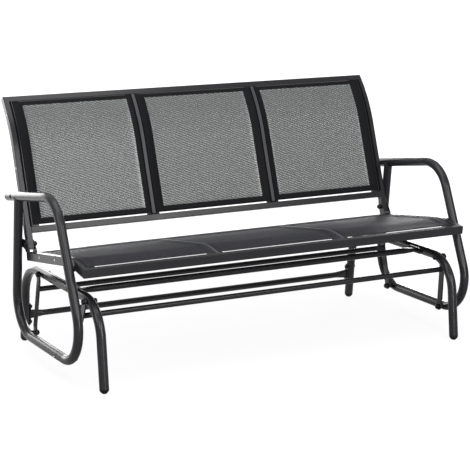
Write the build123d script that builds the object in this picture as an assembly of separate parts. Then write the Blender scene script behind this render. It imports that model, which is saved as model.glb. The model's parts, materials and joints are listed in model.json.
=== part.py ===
"""Three-seat sling glider bench, as separate tubes, tracks, links, fasteners and fabric panels.

Lengths are millimetres.  X runs along the seat, Y towards the back and Z up.  Every outline is
drawn with the middle of the base at Y = 0; all pieces are moved together on export, so that the
origin lies on the floor under the middle of the whole bench.

The seat hangs on four bent links from two fixed arches.  The links converge downwards, so the seat
tips a little as it glides.
"""
import os
from math import atan2, copysign, cos, degrees, hypot, pi, radians, sin, sqrt, tan

from build123d import *

# Fits and clearances
RUN_GAP = 0.3               # between faces that move past each other
WELD_GAP = 0.1              # between a coped tube end and the tube it is welded to
BOLT_CLEAR = 0.1            # radial, bolt in a drilled hole
BUSH_CLEAR = 0.05           # radial, pivot bolt in its bush
FREE_CLEAR = 1.7            # radial, rear lower pivot, which takes up the tipping of the seat
FABRIC_CLEAR = 0.25         # fabric to the metal beside it

# Round tube of the base arches and the arm loops
TUBE_D = 32.0
TUBE_WALL = 1.5
BEND_R = 125.0              # centreline radius of the large bends
BORE_FLAT_COUNT = 12        # flats round every tube bore, unseen, that keep the mesh light

# Widths: everything sideways is placed from the half width of the seat frame
SEAT_HALF_W = 733.0
EAR_T = 3.0                 # outer bracket ear, between the seat frame and the arm
ARM_X = SEAT_HALF_W + EAR_T + TUBE_D / 2
ARCH_SET_IN = 69.0          # plane of the arch inside the plane of the arm
ARCH_X = ARM_X - ARCH_SET_IN
RIB_X = SEAT_HALF_W / 3

# Base: two arches on splayed legs
ARCH_TOP_Z = 288.0
FOOT_Y = 358.0              # leg centreline where it meets the floor
LEG_SPLAY = 6.0             # degrees
FOOT_HEAD = 15.0            # height of the domed foot plug below the tube
PLUG_STEM = 18.0            # length of any plug inside its tube

# Base cross bars, with flattened ends on bolted plates
CROSS_D = 22.0
CROSS_WALL = 1.5
CROSS_FLAT = (34.0, 10.0)   # flattened oval at the ends
CROSS_TAPER = 48.0          # length over which the round becomes the oval
CROSS_FRONT_Y = -126.0
CROSS_REAR_Z = 97.0
PLATE_LEN = 82.0
PLATE_W = 22.0
PLATE_T = 3.0

# Bolts and their cap nuts
BOLT_R = 4.0
HEAD_R = 7.5
HEAD_H = 5.5
CAP_R = 8.5
CAP_H = 9.5

# Glide linkage: Y of the four pivots on one side
FRONT_TOP_Y = -252.0
REAR_TOP_Y = 153.0
FRONT_LOW_Y = -203.0
REAR_LOW_Y = 141.0
LINK_W = 26.0
LINK_T = 5.0
LINK_SET_OUT = 20.0         # sideways joggle from the arch to the arm
LINK_BEND_TOP = 24.0        # upper bend, below the top pivot
LINK_BEND_LOW = 24.0        # lower bend, above the lower pivot
BUSH_R = 7.0
BUSH_PROUD = 1.5            # bush beyond the face of its link
HANGER_BAR_D = 19.0
HANGER_BAR_WALL = 1.5
HANGER_BAR_DROP = 51.0      # along the link, below the top pivot
BOSS_R = 9.0

# Arm loops
ARM_BOLT_DROP = 9.6         # front arm bolt below the middle of the seat rail
ARM_BOLT_AHEAD = 30.0       # front arm bolt ahead of the seat knee
BOLT_SHORT = 4.0            # bolt ends short of the middle of the arm tube
ARM_BOTTOM_Z = 82.0
ARM_FRONT_LOW_Y = -384.0    # corner of the front upright and the bottom run
ARM_FRONT_LEAN = 23.9       # degrees, upright leaning forward going down
ARMREST_REAR = (290.0, 543.5)
ARMREST_SLOPE = 9.0         # degrees, rising to the front
ARM_REAR_LOW_Y = 248.3
ARM_REAR_LEAN = 6.4        # degrees, rear upright leaning forward going up
ARM_SEAM_Y = -150.0         # joint between the two tubes of the loop
SPIGOT_LEN = 42.0
SPIGOT_CLEAR = 0.15

# Seat frame, rectangular tube
SEAT_RAIL_W = 20.0
SEAT_RAIL_H = 30.0
SEAT_WALL = 1.5
SEAT_REAR = (180.0, 349.0)  # middle of the side rail at its rear end
SEAT_SLOPE = 8.4            # degrees, rising to the front
SEAT_KNEE_Y = -215.0
SEAT_KNEE_R = 200.0
SEAT_FRONT_Y = -325.0
SEAT_DROP = 8.6             # degrees, falling from the knee to the front rail
SEAT_REAR_RAIL = 32.0       # middle of the rear rail ahead of the rear ends

# Back frame, rectangular tube
BACK_RAIL_W = 22.0
BACK_RAIL_D = 25.0
BACK_FOOT = (172.0, 372.0)  # a point of the stile centreline
BACK_CUT_Z = 378.0          # level cut of the stile foot
BACK_RECLINE = 19.0         # degrees from upright
BACK_KNEE_Z = 782.0
BACK_KNEE_R = 500.0
BACK_TOP_RECLINE = 39.0
BACK_TOP_LEN = 115.2        # knee to the top edge
LOWER_RAIL_Z = 437.0
LOWER_RAIL_H = 22.0
RAIL_CORNER = 2.0

# Sling tracks and ribs, with undercut grooves that hold the hems
TRACK_W = 30.0
TRACK_T = 13.0
TRACK_STEP = 4.0            # track face below the rail face
TRACK_WALL = 1.5
TRACK_SCREW = 10.2          # track screws below the track face
ACCESS_R = 6.0              # holes in the outer walls through which those screws are reached
SEAT_SCREWS = (72.0, 214.0)  # along the track from its rear end
BACK_SCREWS = (46.0, 238.0)  # along the track from its top end
GROOVE_IN = 7.0             # groove middle of a track, in from the rail
LIP_IN = 4.0                # raised lip between that groove and the rail
LIP = (2.8, 3.0)
GROOVE_SLOT = 2.0
GROOVE_DEPTH = 4.4          # channel middle below the track face
RIB_WEB = 12.0
RIB_RISE = 3.0
RIB_WING = 16.0
RIB_GROOVE_IN = 4.5         # groove middle of a rib, out from its web

# Fabric and the strips in its hems
FABRIC_T = 0.9
STRIP = (2.6, 1.4)          # flat plastic strip in each hem
STRIP_CLEAR = 0.15
HEM_GAP_FRONT = 11.0        # seat fabric to the front rail
HEM_GAP_REAR = 7.0
HEM_GAP_LOWER = 5.0         # back fabric to the lower rail
RIB_CAP_H = HEM_GAP_LOWER - 0.6   # black cap under a back rib, clear of the fabric
HEM_GAP_TOP = 2.0

# Brackets that hold the back on the seat
EAR_RISE = 15.0             # ear above its bolt line
SADDLE_LEN = 36.0           # bracket along the seat rail
BRACKET_BOLT_Z = 392.0

# The base sits this far ahead of the middle of the whole depth
DEPTH_MID_Y = 10.58


def up_slope(angle):
    """Rise per unit of run for an angle in degrees."""
    return tan(radians(angle))


def toward(start, end, distance):
    """Point on the line from start to end, a distance from start (all in Y and Z)."""
    span = hypot(end[0] - start[0], end[1] - start[1])
    return tuple(a + (b - a) * distance / span for a, b in zip(start, end))


# Corner points of the side outlines, in (Y, Z)
arch_corner_y = FOOT_Y - ARCH_TOP_Z * up_slope(LEG_SPLAY)
arch_bend_y = arch_corner_y - BEND_R * tan(radians(90 - LEG_SPLAY) / 2)


def arch_z(y):
    """Height of the arch centreline over the flat run and the front bend."""
    past = max(0.0, abs(y) - arch_bend_y)
    return ARCH_TOP_Z - BEND_R + sqrt(BEND_R**2 - past**2)


def leg_y(z):
    """Y of a leg centreline at a height, rear leg positive."""
    return FOOT_Y - z * up_slope(LEG_SPLAY)


front_top = (FRONT_TOP_Y, arch_z(FRONT_TOP_Y))
rear_top = (REAR_TOP_Y, arch_z(REAR_TOP_Y))
arm_front_bend_y = ARM_FRONT_LOW_Y + BEND_R * tan(radians(90 + ARM_FRONT_LEAN) / 2)
arm_rear_bend_y = ARM_REAR_LOW_Y - BEND_R * tan(radians(90 + ARM_REAR_LEAN) / 2)


def arm_bottom_z(y):
    """Height of the arm centreline along the bottom run and into its two bends."""
    past = max(0.0, arm_front_bend_y - y, y - arm_rear_bend_y)
    return ARM_BOTTOM_Z + BEND_R - sqrt(BEND_R**2 - past**2)


front_low = (FRONT_LOW_Y, arm_bottom_z(FRONT_LOW_Y))
rear_low = (REAR_LOW_Y, arm_bottom_z(REAR_LOW_Y))


def armrest_z(y):
    """Height of the straight armrest centreline."""
    return ARMREST_REAR[1] + (ARMREST_REAR[0] - y) * up_slope(ARMREST_SLOPE)


def arm_front_y(z):
    """Y of the front upright of the arm."""
    return ARM_FRONT_LOW_Y + (z - ARM_BOTTOM_Z) * up_slope(ARM_FRONT_LEAN)


def arm_rear_y(z):
    """Y of the rear upright of the arm."""
    return ARM_REAR_LOW_Y - (z - ARM_BOTTOM_Z) * up_slope(ARM_REAR_LEAN)


# Where the armrest line meets the two uprights
arm_corner_z = (
    armrest_z(ARM_FRONT_LOW_Y - ARM_BOTTOM_Z * up_slope(ARM_FRONT_LEAN))
    / (1 + up_slope(ARMREST_SLOPE) * up_slope(ARM_FRONT_LEAN))
)
arm_corner = (arm_front_y(arm_corner_z), arm_corner_z)
arm_joint_z = (
    armrest_z(ARM_REAR_LOW_Y + ARM_BOTTOM_Z * up_slope(ARM_REAR_LEAN))
    / (1 - up_slope(ARMREST_SLOPE) * up_slope(ARM_REAR_LEAN))
)
arm_joint = (arm_rear_y(arm_joint_z), arm_joint_z)

seat_knee = (SEAT_KNEE_Y, SEAT_REAR[1] + (SEAT_REAR[0] - SEAT_KNEE_Y) * up_slope(SEAT_SLOPE))
seat_front = (SEAT_FRONT_Y, seat_knee[1] - (SEAT_KNEE_Y - SEAT_FRONT_Y) * up_slope(SEAT_DROP))


def seat_z(y):
    """Height of the seat rail middle behind the knee."""
    return SEAT_REAR[1] + (SEAT_REAR[0] - y) * up_slope(SEAT_SLOPE)


def back_y(z):
    """Y of the stile middle below its knee."""
    return BACK_FOOT[0] + (z - BACK_FOOT[1]) * up_slope(BACK_RECLINE)


back_knee = (back_y(BACK_KNEE_Z), BACK_KNEE_Z)
back_top = (
    back_knee[0] + BACK_TOP_LEN * sin(radians(BACK_TOP_RECLINE)),
    back_knee[1] + BACK_TOP_LEN * cos(radians(BACK_TOP_RECLINE)),
)
back_start = (back_y(BACK_CUT_Z - 20), BACK_CUT_Z - 20)

# Sideways stack of the pivots
arch_face_x = ARCH_X + TUBE_D / 2
link_top_x = arch_face_x + RUN_GAP + BUSH_PROUD + LINK_T / 2
link_low_x = link_top_x + LINK_SET_OUT
arm_face_x = ARM_X - TUBE_D / 2
seat_inner_x = SEAT_HALF_W - SEAT_RAIL_W
back_inner_x = SEAT_HALF_W - BACK_RAIL_W
hem = tuple(side + 2 * (STRIP_CLEAR + FABRIC_T) for side in STRIP)
channel = tuple(side + 2 * FABRIC_CLEAR for side in hem)


def side_path(corners, radius=0.0):
    """Legs of a bent centreline through (Y, Z) corners, each a start, heading, length and radius.

    The heading is the angle from +Y towards +Z.  A straight leg has no radius; a bend has a positive
    one where it turns from +Y towards +Z.
    """
    legs = []
    here = corners[0]
    heading = atan2(corners[1][1] - here[1], corners[1][0] - here[0])
    for corner, after in zip(corners[1:], corners[2:]):
        leaving = atan2(after[1] - corner[1], after[0] - corner[0])
        turn = (leaving - heading + pi) % (2 * pi) - pi
        tangent = radius * tan(abs(turn) / 2)
        straight = hypot(corner[0] - here[0], corner[1] - here[1]) - tangent
        legs.append((here, heading, straight, 0.0))
        here = toward(here, corner, straight)
        legs.append((here, heading, radius * abs(turn), copysign(radius, turn)))
        here = toward(corner, after, tangent)
        heading = leaving
    legs.append((here, heading, hypot(corners[-1][0] - here[0], corners[-1][1] - here[1]), 0.0))
    return legs


def leg_plane(x, start, heading):
    """Section plane at the start of a leg, its X along the bench."""
    return Plane(origin=(x, *start), x_dir=(1, 0, 0), z_dir=(0, cos(heading), sin(heading)))


def run(section, x, legs):
    """Carry a section along legs: extruded down the straight ones, turned round the bends."""
    pieces = []
    for start, heading, length, radius in legs:
        face = leg_plane(x, start, heading) * section
        if radius:
            centre = (x, start[0] - radius * sin(heading), start[1] + radius * cos(heading))
            axis = Axis(centre, (copysign(1, radius), 0, 0))
            pieces.append(revolve(face, axis=axis, revolution_arc=degrees(length / abs(radius))))
        else:
            pieces.append(extrude(face, amount=length))
    return pieces[0].fuse(*pieces[1:]) if len(pieces) > 1 else pieces[0]


def beside(legs, distance, offset):
    """Point (Y, Z) a distance along legs, offset along the section height."""
    for start, heading, length, radius in legs:
        if distance <= length:
            break
        distance -= length
    if radius:
        turned_by = distance / radius
        chord = 2 * radius * sin(turned_by / 2)
        mid = heading + turned_by / 2
        point = (start[0] + chord * cos(mid), start[1] + chord * sin(mid))
        heading += turned_by
    else:
        point = (start[0] + distance * cos(heading), start[1] + distance * sin(heading))
    return (point[0] + offset * sin(heading), point[1] - offset * cos(heading))


def ring(diameter, wall):
    """Round tube section, its bore cut with flats that touch the true bore."""
    return Circle(diameter / 2) - RegularPolygon(diameter / 2 - wall, BORE_FLAT_COUNT, major_radius=False)


def box_tube(width, height, wall):
    """Rectangular tube section with eased corners."""
    outside = chamfer(Rectangle(width, height).vertices(), RAIL_CORNER)
    return outside - Rectangle(width - 2 * wall, height - 2 * wall)


def x_rod(radius, x0, x1, at):
    """Solid cylinder along X between two X values, centred on (Y, Z)."""
    return Pos((x0 + x1) / 2, at[0], at[1]) * Rot(0, 90, 0) * Cylinder(radius, abs(x1 - x0))


def hexagon(radius, x0, x1, at):
    """Six-sided block along X between two X values, centred on (Y, Z)."""
    block = extrude(RegularPolygon(radius, 6), amount=abs(x1 - x0))
    return Pos(min(x0, x1), at[0], at[1]) * Rot(0, 90, 0) * block


def bolt(x_seat, x_head, x_end, head_r, at):
    """Bolt with a head from x_seat to x_head and a shank that ends at x_end."""
    return hexagon(head_r, x_seat, x_head, at) + x_rod(BOLT_R, x_seat, x_end, at)


def capped_bolt(x_seat, x_nut, at):
    """Bolt whose head sits outside x_seat, with its cap nut tightened inside x_nut."""
    return bolt(x_seat, x_seat + HEAD_H, x_nut, HEAD_R, at) + hexagon(CAP_R, x_nut - CAP_H, x_nut, at)


def both_sides(piece):
    """The piece and its mirror image across the middle of the bench."""
    return [piece, mirror(piece, about=Plane.YZ)]


def group(pieces):
    """Separate solids kept in one node."""
    return Compound([solid for piece in pieces for solid in piece.solids()])


# Base

def base_arch():
    """One arch, drilled for its two pivots."""
    ends = leg_y(FOOT_HEAD)
    corners = [
        (-ends, FOOT_HEAD), (-arch_corner_y, ARCH_TOP_Z), (arch_corner_y, ARCH_TOP_Z), (ends, FOOT_HEAD),
    ]
    arch = run(ring(TUBE_D, TUBE_WALL), ARCH_X, side_path(corners, BEND_R))
    arch = split(arch, bisect_by=Plane.XY.offset(FOOT_HEAD), keep=Keep.TOP)
    for pivot in (front_top, rear_top):
        arch -= x_rod(BOLT_R + BOLT_CLEAR, ARCH_X - TUBE_D, ARCH_X + TUBE_D, pivot)
    return arch


def cross_bar(at, turn):
    """Cross bar with flattened ends welded to plates; turn is the plate angle from level."""
    x_plate = ARCH_X - TUBE_D / 2 - PLATE_T
    x_taper = x_plate - CROSS_TAPER
    spin = Rot(0, 0, turn)
    bar = extrude(Plane.YZ * ring(CROSS_D, CROSS_WALL), amount=x_taper)
    start = Plane.YZ.offset(x_taper) * spin * RectangleRounded(CROSS_D, CROSS_D, CROSS_D * 0.49)
    end = Plane.YZ.offset(x_plate) * spin * RectangleRounded(*CROSS_FLAT, CROSS_FLAT[1] * 0.49)
    bar += loft([start, end], ruled=True)
    bar += extrude(Plane.YZ.offset(x_plate) * spin * SlotOverall(PLATE_LEN, PLATE_W), amount=PLATE_T)
    half = Pos(0, at[0], at[1]) * bar
    return half + mirror(half, about=Plane.YZ)


def foot_plug(sign):
    """Domed foot of one leg: a head that stands flat on the floor and a stem inside the tube."""
    lean = Rot(sign * LEG_SPLAY, 0, 0)
    top = (ARCH_X, sign * leg_y(FOOT_HEAD), FOOT_HEAD)
    tip = FOOT_HEAD + 4
    edge = [(0, 4), (TUBE_D / 2, 4), (TUBE_D / 2 * 0.97, -tip * 0.22), (TUBE_D / 2 * 0.83, -tip * 0.47)]
    edge += [(TUBE_D / 2 * 0.56, -tip * 0.71), (TUBE_D / 2 * 0.3, -tip), (0, -tip)]
    edge = Polyline(*edge, close=True)
    head = Pos(*top) * lean * revolve(Plane.XZ * make_face(edge), axis=Axis.Z)
    head = split(head, bisect_by=Plane.XY.offset(FOOT_HEAD), keep=Keep.BOTTOM)
    head = split(head, bisect_by=Plane.XY, keep=Keep.TOP)
    stem = Pos(*top) * lean * Pos(0, 0, PLUG_STEM / 2) * Cylinder(
        TUBE_D / 2 - TUBE_WALL - BOLT_CLEAR, PLUG_STEM + 12
    )
    return head + split(stem, bisect_by=Plane.XY.offset(FOOT_HEAD), keep=Keep.TOP)


# Hangers

def hanger_plane(top, low):
    """Local frame of a hanger: origin on the top pivot axis, Z up along the link."""
    return Plane(origin=(0, *top), x_dir=(1, 0, 0), z_dir=(0, top[0] - low[0], top[1] - low[1]))


def hanger_link(top, low):
    """Flat link with round ends, joggled outwards between its two bends."""
    length = hypot(top[0] - low[0], top[1] - low[1])
    reach = LINK_W / 2
    bends = [reach, -LINK_BEND_TOP, LINK_BEND_LOW - length, -length - reach]
    shifts = [link_top_x, link_top_x, link_low_x, link_low_x]
    outline = [(x - LINK_T / 2, z) for x, z in zip(shifts, bends)]
    outline += [(x + LINK_T / 2, z) for x, z in zip(reversed(shifts), reversed(bends))]
    strip = extrude(Plane.XZ * make_face(Polyline(*outline, close=True)), amount=LINK_W, both=True)
    slot = Pos(0, -length / 2) * Rot(0, 0, 90) * SlotCenterToCenter(length, LINK_W)
    for z in (0, -length):
        slot -= Pos(0, z) * Circle(BUSH_R)
    link = strip & extrude(Plane.YZ.offset(link_top_x - LINK_T) * slot, amount=LINK_SET_OUT + 3 * LINK_T)
    return hanger_plane(top, low) * link


def hanger_bar(top, low):
    """Tube welded between the left and right links, its ends cut to their slanted inner faces."""
    slanted = hypot(top[0] - low[0], top[1] - low[1]) - LINK_BEND_TOP - LINK_BEND_LOW
    face = Plane(origin=(link_top_x - LINK_T / 2, 0, -LINK_BEND_TOP), z_dir=(slanted, 0, LINK_SET_OUT))
    bar = extrude(Plane.YZ * ring(HANGER_BAR_D, HANGER_BAR_WALL), amount=link_low_x, both=True)
    bar = Pos(0, 0, -HANGER_BAR_DROP) * bar
    for _ in range(2):
        bar = mirror(split(bar, bisect_by=face, keep=Keep.BOTTOM), about=Plane.YZ)
    return hanger_plane(top, low) * bar


def bush(x_inner, x_outer, bore_r, at):
    """Plain bush in a link, proud of it on one side."""
    return x_rod(BUSH_R, x_inner, x_outer, at) - x_rod(bore_r, x_inner, x_outer, at)


def hanger_bushes(top, low, low_clear):
    """The four bushes of one hanger, proud towards the arch and towards the arm."""
    inner = link_top_x - LINK_T / 2
    upper = bush(inner - BUSH_PROUD, inner + LINK_T, BOLT_R + BUSH_CLEAR, top)
    inner = link_low_x - LINK_T / 2
    lower = bush(inner, inner + LINK_T + BUSH_PROUD, BOLT_R + low_clear, low)
    return group(both_sides(upper) + both_sides(lower))


def top_bolt(at):
    """Pivot bolt through the arch, its head outside the link and its cap nut inside the arch."""
    return capped_bolt(link_top_x + LINK_T / 2 + RUN_GAP, ARCH_X - TUBE_D / 2, at)


def low_bolt(at):
    """Pivot bolt from inside, through the link and the boss into the arm tube."""
    x_seat = link_low_x - LINK_T / 2 - RUN_GAP
    return bolt(x_seat, x_seat - CAP_H, ARM_X - BOLT_SHORT, CAP_R, at)


# Arms

def arm_upper_path():
    """Armrest from its rear end, round the front and back to the seam."""
    corners = [ARMREST_REAR, arm_corner, (ARM_FRONT_LOW_Y, ARM_BOTTOM_Z), (ARM_SEAM_Y, ARM_BOTTOM_Z)]
    return side_path(corners, BEND_R)


def arm_lower_path():
    """Bottom run from the seam, up the rear upright to the armrest."""
    corners = [(ARM_SEAM_Y, ARM_BOTTOM_Z), (ARM_REAR_LOW_Y, ARM_BOTTOM_Z), arm_joint]
    return side_path(corners, BEND_R)


def coped_collar(x_face, at, path):
    """Drilled collar from a flat face to an arm tube, its end cut to fit the tube."""
    collar = x_rod(BOSS_R, x_face, ARM_X, at) - x_rod(BOLT_R + BOLT_CLEAR, x_face, ARM_X, at)
    return collar - run(Circle(TUBE_D / 2 + WELD_GAP), ARM_X, path)


low_boss_x = link_low_x + LINK_T / 2 + BUSH_PROUD + RUN_GAP
front_bolt_z = seat_knee[1] - ARM_BOLT_DROP - ARM_BOLT_AHEAD * up_slope(SEAT_DROP)
front_bolt = (arm_front_y(front_bolt_z), front_bolt_z)
rear_bolt = (arm_rear_y(BRACKET_BOLT_Z), BRACKET_BOLT_Z)
rest_bolt_y = back_y(armrest_z(0)) / (1 + up_slope(BACK_RECLINE) * up_slope(ARMREST_SLOPE))
rest_bolt = (rest_bolt_y, armrest_z(rest_bolt_y))


def arm_upper():
    """Armrest, front upright and front bend, ending in a swaged spigot."""
    arm = run(ring(TUBE_D, TUBE_WALL), ARM_X, arm_upper_path())
    spigot_r = TUBE_D / 2 - TUBE_WALL - SPIGOT_CLEAR
    neck = Pos(ARM_X, ARM_SEAM_Y, ARM_BOTTOM_Z) * Rot(90, 0, 0)
    collar = Pos(0, 0, 3) * (Cylinder(TUBE_D / 2 - 0.5, 6) - Cylinder(spigot_r - TUBE_WALL, 6))
    sleeve = Cylinder(spigot_r, SPIGOT_LEN) - Cylinder(spigot_r - TUBE_WALL, SPIGOT_LEN)
    arm += neck * collar
    arm += neck * Pos(0, 0, -SPIGOT_LEN / 2) * sleeve
    arm -= x_rod(BOLT_R + BOLT_CLEAR, arm_face_x - 1, ARM_X, front_bolt)
    arm -= x_rod(BOLT_R + BOLT_CLEAR, arm_face_x - 1, ARM_X, rest_bolt)
    arm -= x_rod(HEAD_R + 0.5, ARM_X, ARM_X + TUBE_D, rest_bolt)
    return arm - x_rod(BOLT_R + BOLT_CLEAR, arm_face_x - 1, ARM_X, front_low)


def arm_lower():
    """Bottom run and rear upright, coped under the armrest."""
    arm = run(ring(TUBE_D, TUBE_WALL), ARM_X, arm_lower_path())
    arm -= run(Circle(TUBE_D / 2 + WELD_GAP), ARM_X, side_path([ARMREST_REAR, arm_corner]))
    arm -= x_rod(BOLT_R + BOLT_CLEAR, arm_face_x - 1, ARM_X, rear_low)
    arm -= x_rod(BOLT_R + BOLT_CLEAR, arm_face_x - 1, ARM_X, rear_bolt)
    return arm.solids().sort_by(SortBy.VOLUME)[-1]


def armrest_plug():
    """Domed plug in the rear end of the armrest."""
    inside = TUBE_D / 2 - TUBE_WALL - BOLT_CLEAR
    outside = TUBE_D / 2
    edge = [(0, -PLUG_STEM), (inside, -PLUG_STEM), (inside, 0), (outside, 0), (outside, 1.5)]
    edge = Polyline(*edge, (outside * 0.72, 4.2), (0, 5), close=True)
    end = Plane(
        origin=(ARM_X, *ARMREST_REAR), x_dir=(1, 0, 0),
        z_dir=(0, ARMREST_REAR[0] - arm_corner[0], ARMREST_REAR[1] - arm_corner[1]),
    )
    return end * revolve(Plane.XZ * make_face(edge), axis=Axis.Z)


# Seat and back frames

def mitre_plane(end, tangent, depth):
    """Plane of a right-hand mitre: through the outer end and the inner point a depth back."""
    outer = Vector(SEAT_HALF_W, *end)
    slope = Vector(depth, tangent[0] * depth, tangent[1] * depth)
    normal = slope.cross(Vector(0, -tangent[1], tangent[0]))
    return Plane(origin=outer, z_dir=normal)


def unit(start, end):
    """Unit vector from start to end in Y and Z."""
    span = hypot(end[0] - start[0], end[1] - start[1])
    return ((end[0] - start[0]) / span, (end[1] - start[1]) / span)


def cross_rail(section, centre, tangent, half):
    """Straight rail along X; the section height lies across the tangent."""
    plane = Plane(origin=(0, *centre), x_dir=(0, *tangent), z_dir=(1, 0, 0))
    return extrude(plane * section, amount=half, both=True)


def mitred(rail, end, tangent, depth):
    """Cut both ends of a cross rail along the mitre planes."""
    plane = mitre_plane(end, tangent, depth)
    middle = Vector(0, *end) - Vector(0, *tangent) * depth / 2
    keep = Keep.TOP if (middle - plane.origin).dot(plane.z_dir) > 0 else Keep.BOTTOM
    rail = split(rail, bisect_by=plane, keep=keep)
    rail = mirror(rail, about=Plane.YZ)
    return split(rail, bisect_by=plane, keep=keep)


def mitred_side(rail, end, tangent, depth):
    """Cut the end of a right-hand side rail along its mitre plane."""
    plane = mitre_plane(end, tangent, depth)
    back = Vector(SEAT_HALF_W, *end) - Vector(0, *tangent) * depth * 3
    keep = Keep.TOP if (back - plane.origin).dot(plane.z_dir) > 0 else Keep.BOTTOM
    return split(rail, bisect_by=plane, keep=keep)


seat_rear_dir = unit(SEAT_REAR, seat_knee)
seat_front_dir = unit(seat_knee, seat_front)
back_low_dir = unit(back_start, back_knee)
back_top_dir = unit(back_knee, back_top)
lower_rail_mid = (back_y(LOWER_RAIL_Z), LOWER_RAIL_Z)
rear_rail_mid = toward(SEAT_REAR, seat_knee, SEAT_REAR_RAIL)
bracket_bolt = (back_y(BRACKET_BOLT_Z), BRACKET_BOLT_Z)


def seat_run(rear_gap, front_gap):
    """Seat path between the rear rail and the front rail, short of each by a gap."""
    rear = toward(rear_rail_mid, seat_knee, SEAT_RAIL_W / 2 + rear_gap)
    front = toward(seat_front, seat_knee, SEAT_RAIL_W + front_gap)
    return side_path([rear, seat_knee, front], SEAT_KNEE_R)


def back_run(top_gap, lower_gap):
    """Back path between the top rail and the lower rail, short of each by a gap."""
    top = toward(back_top, back_knee, BACK_RAIL_W + top_gap)
    lower = toward(lower_rail_mid, back_knee, LOWER_RAIL_H / 2 + lower_gap)
    return side_path([top, back_knee, lower], BACK_KNEE_R)


seat_face = SEAT_RAIL_H / 2 - TRACK_STEP
back_face = BACK_RAIL_D / 2 - TRACK_STEP
seat_screw_spots = [beside(seat_run(0, 0), s, seat_face - TRACK_SCREW) for s in SEAT_SCREWS]
back_screw_spots = [beside(back_run(0, 0), s, back_face - TRACK_SCREW) for s in BACK_SCREWS]


def seat_side_rail():
    """Right side rail, bent down at the knee and mitred to the front rail."""
    legs = side_path([SEAT_REAR, seat_knee, seat_front], SEAT_KNEE_R)
    rail = run(box_tube(SEAT_RAIL_W, SEAT_RAIL_H, SEAT_WALL), SEAT_HALF_W - SEAT_RAIL_W / 2, legs)
    rail = mitred_side(rail, seat_front, seat_front_dir, SEAT_RAIL_W)
    for spot in seat_screw_spots:
        rail -= x_rod(ACCESS_R, SEAT_HALF_W - SEAT_RAIL_W / 2, SEAT_HALF_W + 5, spot)
    return rail - x_rod(BOLT_R + BOLT_CLEAR, seat_inner_x - 1, SEAT_HALF_W + 1, front_bolt)


def seat_front_rail():
    """Front rail with mitred ends."""
    middle = toward(seat_front, seat_knee, SEAT_RAIL_W / 2)
    section = box_tube(SEAT_RAIL_W, SEAT_RAIL_H, SEAT_WALL)
    rail = cross_rail(section, middle, seat_front_dir, SEAT_HALF_W)
    return mitred(rail, seat_front, seat_front_dir, SEAT_RAIL_W)


def seat_rear_rail():
    """Rear rail between the side rails."""
    section = box_tube(SEAT_RAIL_W, SEAT_RAIL_H, SEAT_WALL)
    return cross_rail(section, rear_rail_mid, seat_rear_dir, seat_inner_x)


def back_stile():
    """Right stile, bent back at the top, cut level at the foot and mitred to the top rail."""
    legs = side_path([back_top, back_knee, back_start], BACK_KNEE_R)
    stile = run(box_tube(BACK_RAIL_W, BACK_RAIL_D, SEAT_WALL), SEAT_HALF_W - BACK_RAIL_W / 2, legs)
    stile = mitred_side(stile, back_top, back_top_dir, BACK_RAIL_W)
    stile = split(stile, bisect_by=Plane.XY.offset(BACK_CUT_Z), keep=Keep.TOP)
    for spot in back_screw_spots:
        stile -= x_rod(ACCESS_R, SEAT_HALF_W - BACK_RAIL_W / 2, SEAT_HALF_W + 5, spot)
    stile -= x_rod(BOLT_R + BOLT_CLEAR, back_inner_x - 1, SEAT_HALF_W + 1, bracket_bolt)
    return stile - x_rod(BOLT_R + BOLT_CLEAR, back_inner_x - 1, SEAT_HALF_W + 1, rest_bolt)


def back_top_rail():
    """Top rail with mitred ends."""
    middle = toward(back_top, back_knee, BACK_RAIL_W / 2)
    rail = cross_rail(box_tube(BACK_RAIL_W, BACK_RAIL_D, SEAT_WALL), middle, back_top_dir, SEAT_HALF_W)
    return mitred(rail, back_top, back_top_dir, BACK_RAIL_W)


def back_lower_rail():
    """Lower rail between the stiles."""
    section = box_tube(LOWER_RAIL_H, BACK_RAIL_D, SEAT_WALL)
    return cross_rail(section, lower_rail_mid, back_low_dir, back_inner_x)


# Sling tracks, ribs, strips and fabric

def groove(x, face):
    """Groove that opens at the track face, undercut for the hem and its strip."""
    slot = Pos(x, face - GROOVE_DEPTH / 2 + 0.5) * Rectangle(GROOVE_SLOT, GROOVE_DEPTH + 1)
    return slot + Pos(x, face - GROOVE_DEPTH) * Rectangle(*channel)


def track_section(face):
    """Track beside a right-hand rail: X = 0 is the rail side, face is the height of its face."""
    track = Pos(-TRACK_W / 2, face - TRACK_T / 2) * Rectangle(TRACK_W, TRACK_T)
    track += Pos(-LIP_IN, face + LIP[1] / 2) * Rectangle(*LIP)
    void = TRACK_W - GROOVE_IN - channel[0] - 2 * TRACK_WALL
    hollow = Rectangle(void, TRACK_T - 2 * TRACK_WALL)
    track -= Pos(-TRACK_W + TRACK_WALL + void / 2, face - TRACK_T / 2) * hollow
    return track - groove(-GROOVE_IN, face)


def rib_section(face):
    """Rib between two panels: a raised web with a grooved wing on each side."""
    wide = RIB_WEB + 2 * RIB_WING
    rib = Pos(0, face - TRACK_T / 2) * Rectangle(wide, TRACK_T)
    rib += Pos(0, face + (RIB_RISE - TRACK_T) / 2) * Rectangle(RIB_WEB, TRACK_T + RIB_RISE)
    rib -= Pos(0, face + (RIB_RISE - TRACK_T) / 2) * Rectangle(RIB_WEB - 4, TRACK_T + RIB_RISE - 4)
    for s in (-1, 1):
        rib -= groove(s * (RIB_WEB / 2 + RIB_GROOVE_IN), face)
    return rib


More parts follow.
